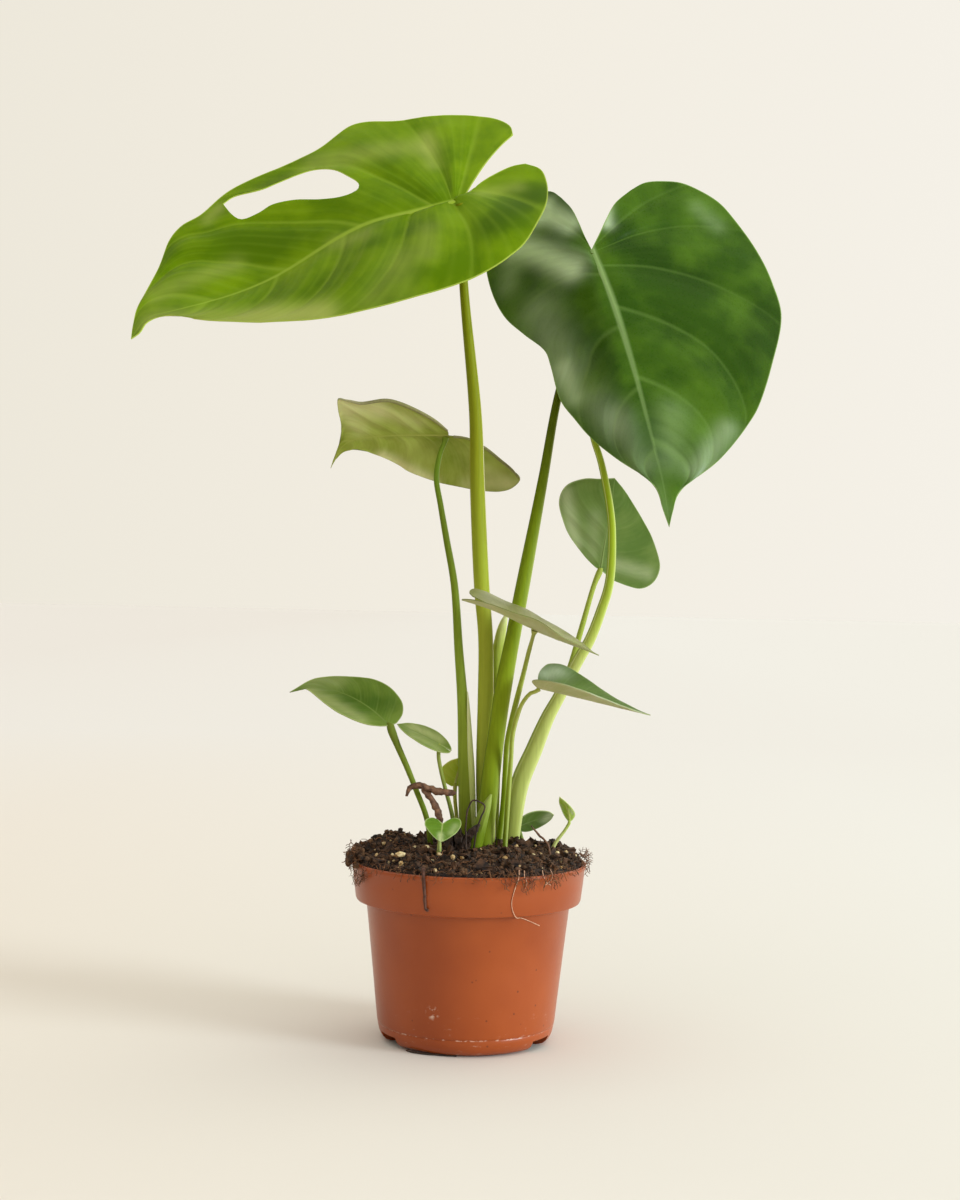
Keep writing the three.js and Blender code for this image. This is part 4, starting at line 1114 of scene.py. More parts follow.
def blade_sheet(name, blade):
    """The thin surface of a blade with its maps."""
    rows, columns = blade["cells"]
    shares = np.linspace(0, 1, columns + 1) ** 1.25
    left = half_patch(blade, blade["left"], shares, rows)
    right = half_patch(blade, blade["right"], shares, rows)
    flat = np.concatenate([left[:, ::-1], right[:, 1:]], axis=1)
    s, w = flat[..., 0], flat[..., 1]
    rib = smooth_line(blade["rib"], rows, 2)
    rib_away = np.linalg.norm(flat - rib[:, None], axis=2)
    margin_away = np.concatenate([np.linalg.norm(left - left[:, -1:], axis=2)[:, ::-1],
                                  np.linalg.norm(right - right[:, -1:], axis=2)[:, 1:]], axis=1)
    notch_away = np.linalg.norm(flat - flat[:1], axis=2)
    edge_away = np.minimum(margin_away, notch_away)
    up_share = np.broadcast_to(np.linspace(0, 1, rows + 1)[:, None], s.shape)
    out_share = np.broadcast_to(np.concatenate([shares[::-1], shares[1:]])[None, :], s.shape)
    on_left = vein_number(up_share, out_share, blade["left"].get("veins", blade["veins"]))
    on_right = vein_number(up_share, out_share, blade["right"].get("veins", blade["veins"])) + 7
    right_side = np.arange(2 * columns + 1)[None, :] > columns
    height = blade_height(blade, s, w)
    height = height + blade_relief(blade, np.where(right_side, on_right, on_left), rib_away, edge_away)
    sheet = laid_grid(name, in_place(blade, s, w, height))
    corner, face = corner_cells(sheet)
    right_face = face % (2 * columns) >= columns
    write_map(sheet, "vein_map",
              np.where(right_face, on_right.reshape(-1)[corner], on_left.reshape(-1)[corner]),
              rib_away.reshape(-1)[corner] / blade["size"])
    # Strokes of painted sheen and of painted shade are kept at each vertex.
    for kind in ("painted_sheen", "shade"):
        write_attribute(sheet, kind, soft_strokes(blade.get(kind, ()), s, w))
    write_attribute(sheet, "rib", rib_away / rib_width(blade, up_share))
    write_attribute(sheet, "edge", edge_away)
    write_attribute(sheet, "along", up_share)
    edit(sheet, (bpy.ops.mesh.remove_doubles, {"threshold": 0.01 * MM}))
    return sheet


print("half a rib of size 1.2 at its middle:", round(rib_width({"rib_size": 1.2}, 0.5), 2), "mm")

# %% [markdown]
# The midrib is a bar that stands out a little above the blade and more below, where it
# carries the weight. It thins towards the tip. Its lower faces take the skin of the
# underside.

# %% Midrib
FAR_FROM_EDGE = 20


def blade_rib(name, blade):
    """The midrib, a flat round bar that stands out a little above and more below."""
    rows, sides = blade["cells"][0], 14
    rib = smooth_line(blade["rib"], rows, 2)
    ahead = np.gradient(rib, axis=0)
    ahead /= np.linalg.norm(ahead, axis=1, keepdims=True)
    across = np.stack([-ahead[:, 1], ahead[:, 0]], axis=1)
    turn = -np.linspace(0, 2 * math.pi, sides + 1)[None, :]
    share = np.linspace(0, 1, rows + 1)[:, None]
    width = rib_width(blade, share)
    flat = rib[:, None] + across[:, None] * (width * np.cos(turn))[..., None]
    rise = np.where(np.sin(turn) > 0, 0.32, 0.85) * width * np.sin(turn)
    s, w = flat[..., 0], flat[..., 1]
    bar = laid_grid(name, in_place(blade, s, w, blade_height(blade, s, w) + rise))
    corner, _ = corner_cells(bar)
    write_map(bar, "vein_map", np.full(len(corner), 0.5), np.zeros(len(corner)))
    # The rib takes half of the blade's painted sheen and none of its painted shade.
    values = {"rib": 0 * s, "painted_sheen": 0.5 * soft_strokes(blade.get("painted_sheen", ()), s, w),
              "shade": 0 * s, "edge": 0 * s + FAR_FROM_EDGE, "along": share + 0 * s}
    for kind, value in values.items():
        write_attribute(bar, kind, value)
    below = (np.arange(len(bar.data.polygons)) % sides) < sides // 2
    bar.data.polygons.foreach_set("material_index", below.astype(int))
    edit(bar, (bpy.ops.mesh.remove_doubles, {"threshold": 0.002 * MM}),
         (bpy.ops.mesh.fill_holes, {"sides": 0}),
         (bpy.ops.mesh.normals_make_consistent, {"inside": False}))
    return bar


print("helper for ribs: blade_rib")

# %% [markdown]
# A monstera leaf is famous for its holes: a patch of the young leaf dies between two veins.
# The hole is cut through the finished sheet with a column of its own outline. A real leaf
# is about half a millimetre thick, and the sheet is given that by a modifier.

# %% Whole blades
def hole_cutter(blade):
    """A column through a blade in the shape of its hole."""
    outline = smooth_line([*blade["hole"], blade["hole"][0]], 72, 2)[:-1]
    start_clean()
    bpy.ops.mesh.primitive_circle_add(vertices=len(outline), radius=1, fill_type="NGON")
    cutter = bpy.context.active_object
    low = in_place(blade, outline[:, 0], outline[:, 1], np.full(len(outline), -50.0))
    cutter.data.vertices.foreach_set("co", (low * MM).reshape(-1))
    through = Vector(blade_turn(blade)[:, 2] * 90 * MM)
    edit(cutter, (bpy.ops.mesh.extrude_region_move, {"TRANSFORM_OT_translate": {"value": through}}))
    edit(cutter, (bpy.ops.mesh.fill_holes, {"sides": 0}),
         (bpy.ops.mesh.normals_make_consistent, {"inside": False}))
    return cutter


def blade_piece(node, blade, upper, under):
    """A whole blade: its sheet made solid, its hole cut and its midrib added."""
    sheet = blade_sheet("fine_" + node, blade)
    sheet.data.materials.append(upper)
    sheet.data.materials.append(under)
    add_modifier(sheet, "SOLIDIFY", thickness=blade["thick"] * MM, offset=0, material_offset=1,
                 material_offset_rim=0)
    if "hole" in blade:
        cutter = hole_cutter(blade)
        add_modifier(sheet, "BOOLEAN", object=cutter, operation="DIFFERENCE", solver="EXACT")
        bpy.data.objects.remove(cutter)
    rib = blade_rib("rib_" + node, blade)
    rib.data.materials.append(upper)
    rib.data.materials.append(under)
    blade_object = join([sheet, rib], "fine_" + node)
    smooth(blade_object)
    return blade_object


print("helpers for blades: hole_cutter, blade_piece")

# %% [markdown]
# A living leaf is a waxy skin over green cells. Its green is never even: two tones lie in
# clouds 26 mm wide, brushed along the side veins, and the shade strokes darken them.

# %% Greens of a leaf
def leaf_greens(add, place, veins_map, shade, streaks, deep, light):
    """The green of the cells, and the two patterns that the rest of the skin follows."""
    clouds = add("TexNoise", {"Vector": place, "Scale": scale_for(26.316),
                              "Detail": 4.0}).outputs["Fac"]
    drawn_out = add("Mapping", {"Vector": veins_map, "Scale": (10.0, 7.0, 1.0)})
    streak = add("TexNoise", {"Vector": drawn_out.outputs["Vector"], "Scale": 1.0,
                              "Detail": 4.0, "Roughness": 0.6}).outputs["Fac"]
    tone = add("Math", {0: streak, 1: streaks, 2: clouds}, operation="MULTIPLY_ADD")
    shaded = add("Math", {0: shade, 1: -0.3, 2: tone.outputs[0]}, operation="MULTIPLY_ADD")
    patches = add("MapRange", {"Value": shaded.outputs[0],
                               "From Min": 0.36 + 0.5 * streaks,
                               "From Max": 0.66 + 0.5 * streaks})
    green = add("Mix", {"Factor": patches.outputs["Result"], 6: deep, 7: light})
    green = add("Mix", {"Factor": shade, 6: green.outputs[2], 7: "#c8d0a8"}, blend_type="MULTIPLY")
    return green.outputs[2], clouds, streak


print("helper for greens: leaf_greens")

# %% [markdown]
# Side veins are paler than the green, because light goes through them. One lies on each
# whole vein number, and thins and fades on its way out. Between two of them run four faint
# ones, broken up by the clouds. The numbers come from the blade's map, so the lines stay
# sharp however coarse the mesh is.

# %% Veins of a leaf
def vein_masks(add, number, away, clouds, vein_strength, fine_veins):
    """How much of the veins' colour shows, for the side veins and for the faint ones."""
    near_vein = add("Math", {0: number, 1: 0.5}, operation="PINGPONG")
    thin = add("MapRange", {"Value": away, "From Max": 0.5, "To Min": 0.075, "To Max": 0.03})
    line = add("MapRange", {"Value": near_vein.outputs[0], "To Min": 1.0,
                            "From Max": thin.outputs["Result"], "To Max": 0.0},
               interpolation_type="SMOOTHSTEP")
    faint = add("MapRange", {"Value": away, "From Max": 0.5, "To Min": vein_strength,
                             "To Max": 0.3 * vein_strength})
    side = add("Math", {0: line.outputs["Result"], 1: faint.outputs["Result"]}, operation="MULTIPLY")
    fifths = add("Math", {0: number, 1: 5.0}, operation="MULTIPLY")
    near_fine = add("Math", {0: fifths.outputs[0], 1: 0.5}, operation="PINGPONG")
    fine = add("MapRange", {"Value": near_fine.outputs[0], "From Max": 0.3,
                            "To Min": fine_veins, "To Max": 0.0},
               interpolation_type="SMOOTHSTEP")
    broken = add("Math", {0: fine.outputs["Result"], 1: clouds}, operation="MULTIPLY")
    return side.outputs[0], broken.outputs[0]


print("helper for veins: vein_masks")

# %% [markdown]
# The skin is fairly smooth, and a little light goes through it. Over the green lie the
# veins, a painted sheen in pale strokes, the rib, whose pale colour fades towards the tip,
# and the rim, a line under a millimetre wide. The cells of the skin break up its real sheen.
# They are drawn 1.1 mm wide, far coarser than a leaf's own, which would not show from here.

# %% Skin of a leaf
def leaf_skin(name, deep, light, vein, rib, edge, painted_sheen="#a3ad7a", vein_strength=0.45, streaks=0.3,
              roughness=(0.28, 0.42), bump=0.05, coat=0.0, gloss=0.35, glow=0.15,
              fine_veins=0.1, rib_end=0.5):
    """A leaf's skin: two tones of green, the colours of veins, rib and rim, a painted sheen, and its gloss.
    """
    material, surface, add = new_material(name)
    place = add("TexCoord").outputs["Object"]
    veins_map = add("UVMap", uv_map="vein_map").outputs["UV"]
    number, away, _ = add("SeparateXYZ", {"Vector": veins_map}).outputs
    shade, sheen_strokes, from_rib, from_edge, along = (
        add("Attribute", attribute_name=kind).outputs["Fac"]
        for kind in ("shade", "painted_sheen", "rib", "edge", "along"))
    colour, clouds, streak = leaf_greens(add, place, veins_map, shade, streaks, deep, light)
    side, fine = vein_masks(add, number, away, clouds, vein_strength, fine_veins)
    # Painted sheen and highlights: the strokes pull the green towards a pale colour, brushed along the side
    # veins.
    brushed = add("MapRange", {"Value": streak, "From Min": 0.3, "From Max": 0.65,
                               "To Min": 0.86, "To Max": 1.06})
    painted_sheen_mask = add("Math", {0: sheen_strokes, 1: brushed.outputs["Result"]},
                   operation="MULTIPLY", use_clamp=True)
    rib_mask = add("MapRange", {"Value": from_rib, "From Min": 0.5, "From Max": 2.8,
                                "To Min": 1.0, "To Max": 0.0},
                   interpolation_type="SMOOTHSTEP")
    fading = add("MapRange", {"Value": along, "From Min": 0.1, "From Max": 0.8,
                              "To Min": 1.0, "To Max": rib_end})
    rib_tone = add("Math", {0: rib_mask.outputs["Result"],
                            1: fading.outputs["Result"]}, operation="MULTIPLY")
    edge_mask = add("MapRange", {"Value": from_edge, "From Min": 0.1,
                                 "From Max": 0.8, "To Min": 0.8, "To Max": 0.0})
    layers = [(side, vein), (fine, vein), (painted_sheen_mask.outputs[0], painted_sheen), (rib_tone.outputs[0], rib),
              (edge_mask.outputs["Result"], edge)]
    for mask, tint in layers:
        colour = add("Mix", {"Factor": mask, 6: colour, 7: tint}).outputs[2]
    cells = add("TexNoise", {"Vector": place, "Scale": scale_for(1.1111), "Detail": 2.0})
    shine = add("MapRange", {"Value": cells.outputs["Fac"], "From Min": 0.3, "From Max": 0.7,
                             "To Min": roughness[0], "To Max": roughness[1]})
    ridges = add("Math", {0: streak, 1: cells.outputs["Fac"]}, operation="ADD")
    relief = add("Bump", {"Height": ridges.outputs[0], "Strength": 0.5, "Distance": bump * MM})
    attach(material, surface, {"Base Color": colour, "Roughness": shine.outputs["Result"], "IOR": 1.4,
                               "Specular IOR Level": gloss, "Normal": relief.outputs["Normal"],
                               "Subsurface Weight": glow, "Subsurface Radius": (0.5, 1.0, 0.2),
                               "Subsurface Scale": 0.0015, "Coat Weight": coat, "Coat Roughness": 0.25})
    return material


print("helper for leaf skins: leaf_skin")

# %% [markdown]
# Each leaf of the plant has its own age and light, so the skins come in pairs, upper and
# under. An old leaf in the sun is yellow-green, one in the shade deep green with a painted
# grey sheen, a withering one tan and dusty, and a young one bright and wet-looking, with
# painted glints. Undersides are lighter, greyer and matt.

# %% Skins of all leaves
MATT = (0.5, 0.62)
SKINS = {
    "sunlit": (
        leaf_skin("leaf_upper_yellow_green", "#527000", "#6d8a06", "#86a02a", "#8fa832", "#aebd50",
                  "#a0a954", vein_strength=0.4, streaks=0.3, gloss=0.05, fine_veins=0.2),
        leaf_skin("leaf_under_yellow_green", "#6f8428", "#84963c", "#9dab58", "#a6b260", "#b6c072",
                  roughness=MATT, bump=0.02)),
    "deep": (
        leaf_skin("leaf_upper_deep_green", "#2c4b03", "#4a6b12", "#66843a", "#7f9a58", "#8aa35a",
                  "#c6d8ac", vein_strength=0.36, streaks=0.1, roughness=(0.24, 0.38), gloss=0.12,
                  fine_veins=0.05, rib_end=0.2),
        leaf_skin("leaf_under_deep_green", "#5f7832", "#71883f", "#8a9c58", "#93a35f", "#a5b070",
                  roughness=MATT)),
    "olive": (
        leaf_skin("leaf_upper_olive_green", "#3f561a", "#556c26", "#74884a", "#8a9c58", "#6d6a40"),
        leaf_skin("leaf_under_olive", "#7c862a", "#9ba24c", "#a0a456", "#969c46", "#8a8758", "#cbc48e",
                  vein_strength=0.2, roughness=MATT, gloss=0.12)),
    "grey": (
        leaf_skin("leaf_upper_mid_green", "#4a6618", "#6c8030", "#748644", "#6a7c38", "#a3ad6c", "#a3a96c",
                  vein_strength=0.25, gloss=0.15),
        leaf_skin("leaf_under_grey_green", "#526a2a", "#6a7d3c", "#7c8b50", "#788a4c", "#a3ad7c", "#b0b48a",
                  vein_strength=0.16, streaks=0.2, roughness=MATT, gloss=0.15)),
    "dusty": (
        leaf_skin("leaf_upper_dusty_green", "#4a6426", "#637a3a", "#7c8e58", "#a3ad7a", "#a3a577", "#a3b08e",
                  gloss=0.25),
        leaf_skin("leaf_under_dusty", "#a0a062", "#b7b480", "#c3c094", "#c0be8a", "#b3ae84", "#c9c4a4",
                  vein_strength=0.25, roughness=MATT)),
    "tan": (
        leaf_skin("leaf_upper_tan", "#777848", "#918e60", "#a3a577", "#b3b084", "#7c7f4c", "#b9be84",
                  gloss=0.15),
        leaf_skin("leaf_under_tan", "#a0a062", "#b7b480", "#c3c094", "#c0be8a", "#b3ae84", "#c9c4a4",
                  vein_strength=0.25, roughness=MATT, gloss=0.15)),
    "bright": (
        leaf_skin("leaf_upper_bright_green", "#567a1c", "#72942c", "#8aa850", "#a6b66c", "#b4c37e",
                  "#b9c68a", gloss=0.2),
        leaf_skin("leaf_under_bright_green", "#6f8c32", "#8aa348", "#9db060", "#a9b86c", "#b9c68a",
                  roughness=MATT, gloss=0.15)),
    # The pale skin is a young leaf's own pale green made brighter still, a painted glow of light shining
    # through it from behind.
    "pale": (
        leaf_skin("leaf_upper_pale_green", "#b4b04a", "#ccc664", "#d3cf7c", "#d9d684", "#dcd98c", gloss=0.1),
        leaf_skin("leaf_under_pale_green", "#bab83e", "#cecb5c", "#d9d482", "#dcd98c", "#e0dc94",
                  roughness=MATT, gloss=0.1, glow=0.3)),
    "young": (
        leaf_skin("leaf_upper_young", "#84a426", "#a0b83a", "#b3c35a", "#b9c85c", "#c9d67c", "#f2f6dc",
                  roughness=(0.1, 0.2), coat=0.8, gloss=0.5),
        leaf_skin("leaf_under_young", "#93ad3c", "#adbf52", "#b9c56a", "#bfc970", "#d3dc9c",
                  roughness=(0.2, 0.3))),
}
print("leaf skins:", ", ".join(SKINS))

# %% [markdown]
# The blades' outlines are drawn on their own planes, a few points to a curve, and repeat the
# frame's solids. `at` is where the stalk joins, in mm, and `turn` holds the three angles of
# the blade's plane. One list of strokes paints sheen and highlights on, and `shade` paints
# shade. `thick` is thinner than the solid, which needs more to be sound. The two large
# leaves come first.

# %% Large blades
BLADES = {
    "blade_left_large": {
        "skin": "sunlit", "slot": "leaf_yellow_green", "cells": (130, 44), "thick": 0.6,
        "size": 179, "veins": 5, "pleat": 1.3, "rib_size": 1.2,
        "at": (-11.7, 0, 427), "turn": (190, -17, -45),
        "droop": -0.0008, "fold": 0.12, "curl": (-0.0035, -0.0004),
        "swells": [(105, 0, -8, 45), (165, 0, 3, 25)],
        "painted_sheen": [(166, 7, 86, 47, 8, 0.6), (120, 26, 90, 44, 8, 0.3), (62, 50, 40, 28, 9, 0.2),
            (46, 54, 40, 36, 7, 0.12), (113, -55, 66, -60, 4, 0.1), (60, -62, 4, -50, 8, 0.35),
            (160, -13, 118, -17, 6, 0.3), (22, 16, 28, 34, 6, 0.25), (-14, -4, -32, -2, 5, 0.3),
            (4, -34, 0, -58, 5, 0.35), (123, -52, 116, -56, 4, 0.4), (66, -2, 52, 2, 6, 0.3)],
        "shade": [(50, 12, 20, 12, 8, 0.4), (-38, 8, -8, 26, 11, 1.0), (112, -30, 76, -14, 9, 0.5),
            (88, 26, 60, 18, 8, 0.4), (113, -55, 80, -59, 5, 0.5), (66, 50, 40, 62, 9, 0.4)],
        "rib": [(-2, -2), (24, -3), (53, -6), (109, 2), (154, 4), (168, 2), (179, 11)],
        "left": {
            "veins": [(0.0, 0.16), (0.016, 0.376), (0.138, 0.6), (0.34, 0.75), (0.55, 0.87), (0.76, 0.95)],
            "notch": [(-2, -2), (-14, -11), (-25, -16), (-35, -19), (-42, -19)],
            "margin": [(-42, -19), (-48, -13), (-48, -3), (-42, 15), (-31, 31), (-20, 43), (-10, 49),
                (3, 54), (21, 57), (42, 57), (63, 55), (91, 48), (110, 38), (136, 22), (161, 5), (169, 5),
                (174, 10), (179, 11)]},
        "right": {
            "veins": [(0.02, 0.095), (0.028, 0.24), (0.08, 0.51), (0.29, 0.79), (0.52, 0.9), (0.74, 0.97)],
            "notch": [(-2, -2), (-13, -15), (-24, -27), (-36, -38), (-44, -44)],
            "margin": [(-44, -44), (-45, -52), (-40, -60), (-28, -67), (-6, -74), (11, -77), (27, -83),
                (35, -83), (54, -73), (67, -70), (107, -66), (126, -57), (137, -55), (145, -49), (155, -32),
                (173, -6), (179, 11)]},
        "hole": [(113, -58), (107, -60), (92, -57), (77, -58), (61, -58), (53, -53), (48, -45), (44, -36),
            (46, -31), (54, -30), (65, -34), (78, -41), (89, -44), (98, -43), (107, -44), (111, -50)],
    },
    "blade_right_large": {
        "skin": "deep", "slot": "leaf_dark_green", "cells": (130, 44), "thick": 0.6,
        "size": 161, "veins": 5, "pleat": 1.2, "rib_size": 1.55,
        "at": (57.7, 22, 408), "turn": (-60, -66, 35),
        "fold": -0.36, "curl": (-0.0006, -0.0035),
        "painted_sheen": [(-22, -36, 6, -12, 7, 0.95), (-34, -20, -20, -8, 6, 0.92), (-38, -16, -30, -24, 4, 0.4),
            (-30, -38, -4, -46, 7, 0.25), (20, -34, 60, -28, 12, 0.3), (58, -28, 76, -26, 5, 0.35),
            (82, -18, 100, -10, 9, 0.2), (96, -8, 126, -2, 7, 0.16), (-30, 12, -16, 11, 4, 0.6),
            (132, 26, 110, 46, 6, 0.28), (100, 20, 125, 14, 9, 0.12), (-24, 62, -14, 70, 5, 0.12),
            (142, 0, 152, 2, 7, 0.12)],
        "shade": [(-4, 16, 20, 50, 12, 0.7), (70, 70, 40, 84, 12, 0.5), (40, 30, 70, 40, 8, 0.3)],
        "rib": [(-1, 0), (30, 4), (60, 6), (100, 7), (139, 7), (152, 6), (161, 5)],
        "left": {
            "veins": [(0.0, 0.12), (0.006, 0.26), (0.06, 0.48), (0.22, 0.74), (0.48, 0.88), (0.7, 0.95)],
            "notch": [(-1, 0), (-10, 6), (-18, 11), (-28, 18), (-36, 28)],
            "margin": [(-36, 28), (-41, 37), (-42, 48), (-41, 57), (-36, 66), (-28, 75), (-17, 81),
                (-5, 86), (9, 90), (23, 92), (42, 92), (73, 79), (97, 66), (106, 59), (126, 39), (143, 14),
                (152, 9), (161, 5)]},
        "right": {
            "veins": [(0.0, 0.14), (0.1, 0.41), (0.295, 0.715), (0.52, 0.87), (0.74, 0.95)],
            "notch": [(-1, 0), (-11, -2), (-18, -3), (-28, -5), (-37, -9)],
            "margin": [(-37, -9), (-43, -13), (-46, -19), (-48, -29), (-44, -41), (-36, -50), (-27, -55),
                (-8, -56), (12, -52), (28, -44), (44, -35), (53, -34), (74, -33), (88, -28), (102, -22),
                (117, -13), (139, 3), (152, 4), (161, 5)]},
    },
}
print("large blades:", ", ".join(BLADES))

# %% [markdown]
# Next come the middling blades: one bent back that shows its underside, one held upright at
# the right, and one nearly hidden behind the large dark leaf.

# %% Middling blades
BLADES.update({
    "blade_mid_left": {
        "skin": "olive", "slot": "leaf_olive_underside", "cells": (80, 26), "thick": 0.5,
        "size": 80, "veins": 5, "pleat": 0.7, "rib_size": 0.35,
        "at": (-16.6, 10, 307.5), "turn": (180, -4, 42),
        "droop": -0.0006, "curl": (-0.002, -0.002),
        "painted_sheen": [(52, 32, 36, 25, 8, 0.7), (50, 22, 44, 10, 5, 0.35), (34, -10, 8, -30, 4, 0.8),
            (-10, -33, -36, -34, 5, 0.45), (-18, -24, -30, -30, 6, 0.3), (30, 20, 14, 12, 5, 0.3)],
        "shade": [(28, 4, 6, 1, 3.5, 0.2), (8, -4, -8, -18, 6, 0.4)],
        "rib": [(-1.5, 1.5), (30, 4), (48, 3), (54, -1), (58, -7.5), (61, -15)],
        "left": {"notch": [(-1.5, 1.5), (-1.5, 3.5), (-1, 5)],
            "margin": [(-1, 5), (4, 11.5), (10, 17.5), (24, 28), (29, 30), (41.5, 29), (49, 32.5),
                (52.5, 34), (53.5, 26), (53, 14), (54.5, 3.5), (61, -15)]},
        "right": {"notch": [(-1.5, 1.5), (-12, -1), (-20.5, -8.5), (-34, -24)],
            "margin": [(-34, -24), (-38, -29.5), (-33.5, -35.5), (-27.5, -37.5), (-19.5, -37), (-10, -35),
                (7.5, -29), (20, -22), (26, -16.5), (38.5, -7.5), (45, -4.5), (50, -3.5), (54, -5),
                (58, -9.5), (61, -15)]},
    },
    "blade_upright": {
        "skin": "grey", "slot": "leaf_grey_green", "cells": (70, 22), "thick": 0.5,
        "size": 56, "veins": 4, "pleat": 0.3, "rib_size": 0.5,
        "at": (67, 44, 241), "turn": (-70, 72, 0),
        "droop": -0.001, "fold": 0.15,
        "painted_sheen": [(42, -26, 14, -16, 4, 0.6), (30, -8, 10, -6, 5, 0.25), (4, 8, -2, 30, 4, 0.4)],
        "rib": [(0.5, 0), (17, 0), (35, 0), (52, -1)],
        "left": {"notch": [(0.5, 0), (-3, 5), (-6, 10)],
            "margin": [(-6, 10), (-9, 19), (-10.5, 26), (-9.5, 31), (-6.5, 35), (-2, 37), (3, 37),
                (18.5, 29), (27, 22.5), (43, 8.5), (47, 4.5), (52, -1)]},
        "right": {"notch": [(0.5, 0), (1.5, -2.5), (4, -6)],
            "margin": [(4, -6), (7.5, -10), (19, -20.5), (26, -24.5), (36, -28.5), (42.5, -28), (47, -25),
                (50.5, -17), (51, -9.5), (52, -1)]},
    },
    "blade_hidden": {
        "skin": "grey", "slot": "leaf_mid_green", "cells": (60, 20), "thick": 0.5,
        "size": 60, "veins": 5, "pleat": 0.4, "rib_size": 1.0,
        "at": (64.3, 27, 337.8), "turn": (40, 50, 55),
        "droop": -0.002, "fold": 0.1,
        "rib": [(0, 0), (20, 0), (40, 0), (58, 0)],
        "left": {"notch": [(0, 0), (-4, 2), (-8, 5)],
            "margin": [(-8, 5), (-10, 11), (-8, 17), (-2, 21), (8, 22), (22, 20), (36, 13), (48, 5),
                (58, 0)]},
    },
})
print("blades so far:", len(BLADES))

# %% [markdown]
# Two blades are seen nearly from their edge. Their folds and swells are what the picture
# shows of them, so these are strong.

# %% Blades seen from the edge
BLADES.update({
    "blade_edge_on": {
        "skin": "tan", "slot": "leaf_olive_underside", "cells": (70, 22), "thick": 0.5,
        "size": 60, "veins": 4, "pleat": 0.4, "rib_size": 0.8,
        "at": (29.8, -44.5, 210), "turn": (-12, -20, -2),
        "fold": 0.21,
        "swells": [(-36, -17, -2, 12), (-40, 24, 3, 16), (-30, 0, 1.5, 20), (2, -22, 1.8, 8),
            (14, -12, -1.2, 7), (-14, 26, 1.5, 9)],
        "painted_sheen": [(2, 12, 20, 4, 8, 0.4), (2, -14, 18, -6, 8, 0.4)],
        "rib": [(0, 0), (12, 0), (24, 0), (34, -1)],
        "left": {"notch": [(0, 0), (-10, 4), (-24, 8), (-37, 10)],
            "margin": [(-37, 10), (-40, 14), (-40, 22), (-35, 28), (-25, 31), (-10, 31), (6, 26), (20, 16),
                (34, -1)]},
        "right": {"notch": [(0, 0), (-10, -4), (-24, -8), (-34, -9)],
            "margin": [(-34, -9), (-36, -12), (-35, -19), (-28, -25), (-14, -28), (2, -26), (16, -20),
                (26, -11), (34, -1)]},
    },
    "blade_low_right": {
        "skin": "dusty", "slot": "leaf_dark_green", "cells": (70, 22), "thick": 0.5,
        "size": 56, "veins": 5, "pleat": 0.3, "rib_size": 0.4,
        "at": (33.4, -32, 181), "turn": (-9, -12, 3),
        "fold": 0.37, "soft": 3,
        "painted_sheen": [(0, 17, 4, 22, 6, 0.8)],
        "rib": [(-1, 0), (18, 0), (36, 0), (56, 0)],
        "left": {"notch": [(-1, 0), (-1.5, 4), (-3, 9)],
            "margin": [(-3, 9), (-4, 15.5), (-3.5, 23), (-1.5, 28.5), (3.5, 31), (9, 29.5), (21, 21.5),
                (33.5, 12), (46, 5), (56, 0)]},
        "right": {"notch": [(-1, 0), (-1.5, -4), (-2.5, -8)],
            "margin": [(-2.5, -8), (-3, -14), (0, -19), (6, -22), (14, -22.5), (24, -19), (34, -13),
                (44, -7), (56, 0)]},
    },
})
print("blades so far:", len(BLADES))

# %% [markdown]
# Two small blades hang low at the left, one above the other.

# %% Small blades
BLADES.update({
    "blade_low_left": {
        "skin": "grey", "slot": "leaf_mid_green", "cells": (70, 22), "thick": 0.5,
        "size": 54, "veins": 5, "pleat": 0.3, "rib_size": 0.12,
        "at": (-40.8, -14, 160.5), "turn": (178, 24, -42),
        "droop": -0.004, "fold": 0.1, "curl": (-0.002, -0.002),
        "painted_sheen": [(44, -3, 14, 6, 4, 0.55), (48, -12, 36, -14, 6, 0.4)],
        "shade": [(26, -6, 6, -10, 7, 0.5)],
        "rib": [(0, 1.5), (13, -4), (28, -7.5), (42, -7.5), (54, -0.5)],
        "left": {"notch": [(0, 1.5), (2, 3), (4, 4.5)],
            "margin": [(4, 4.5), (10, 7), (18, 7.5), (28, 5.5), (38, 0.5), (45.5, -4), (49.5, -5),
                (54, -0.5)]},
        "right": {"notch": [(0, 1.5), (-1.5, -0.5), (-2.5, -2.5)],
            "margin": [(-2.5, -2.5), (-3, -9), (-0.5, -15.5), (4, -19.5), (10, -22.5), (18, -23.5),
                (24.5, -22), (41, -16), (47, -12), (54, -0.5)]},
    },
    "blade_small_left": {
        "skin": "grey", "slot": "leaf_grey_green", "cells": (44, 14), "thick": 0.4,
        "size": 24, "veins": 4, "pleat": 0.2, "rib_size": 0.15,
        "painted_sheen": [(2, -4, 16, -3, 4, 0.85), (0, 5, 14, 5, 3, 0.5)],
        "at": (-15.8, -12, 150.4), "turn": (180, 29, -27),
        "droop": -0.004, "fold": 0.1,
        "rib": [(0, 0), (8, 0), (16, 0), (24, 0)],
        "left": {"notch": [(0, 0), (-3, 0.3), (-6.5, 0.5)],
            "margin": [(-6.5, 0.5), (-5.8, 2.6), (-2, 6.5), (4, 8.8), (11, 8.4), (19, 5), (24, 0)]},
    },
})
print("blades so far:", len(BLADES))
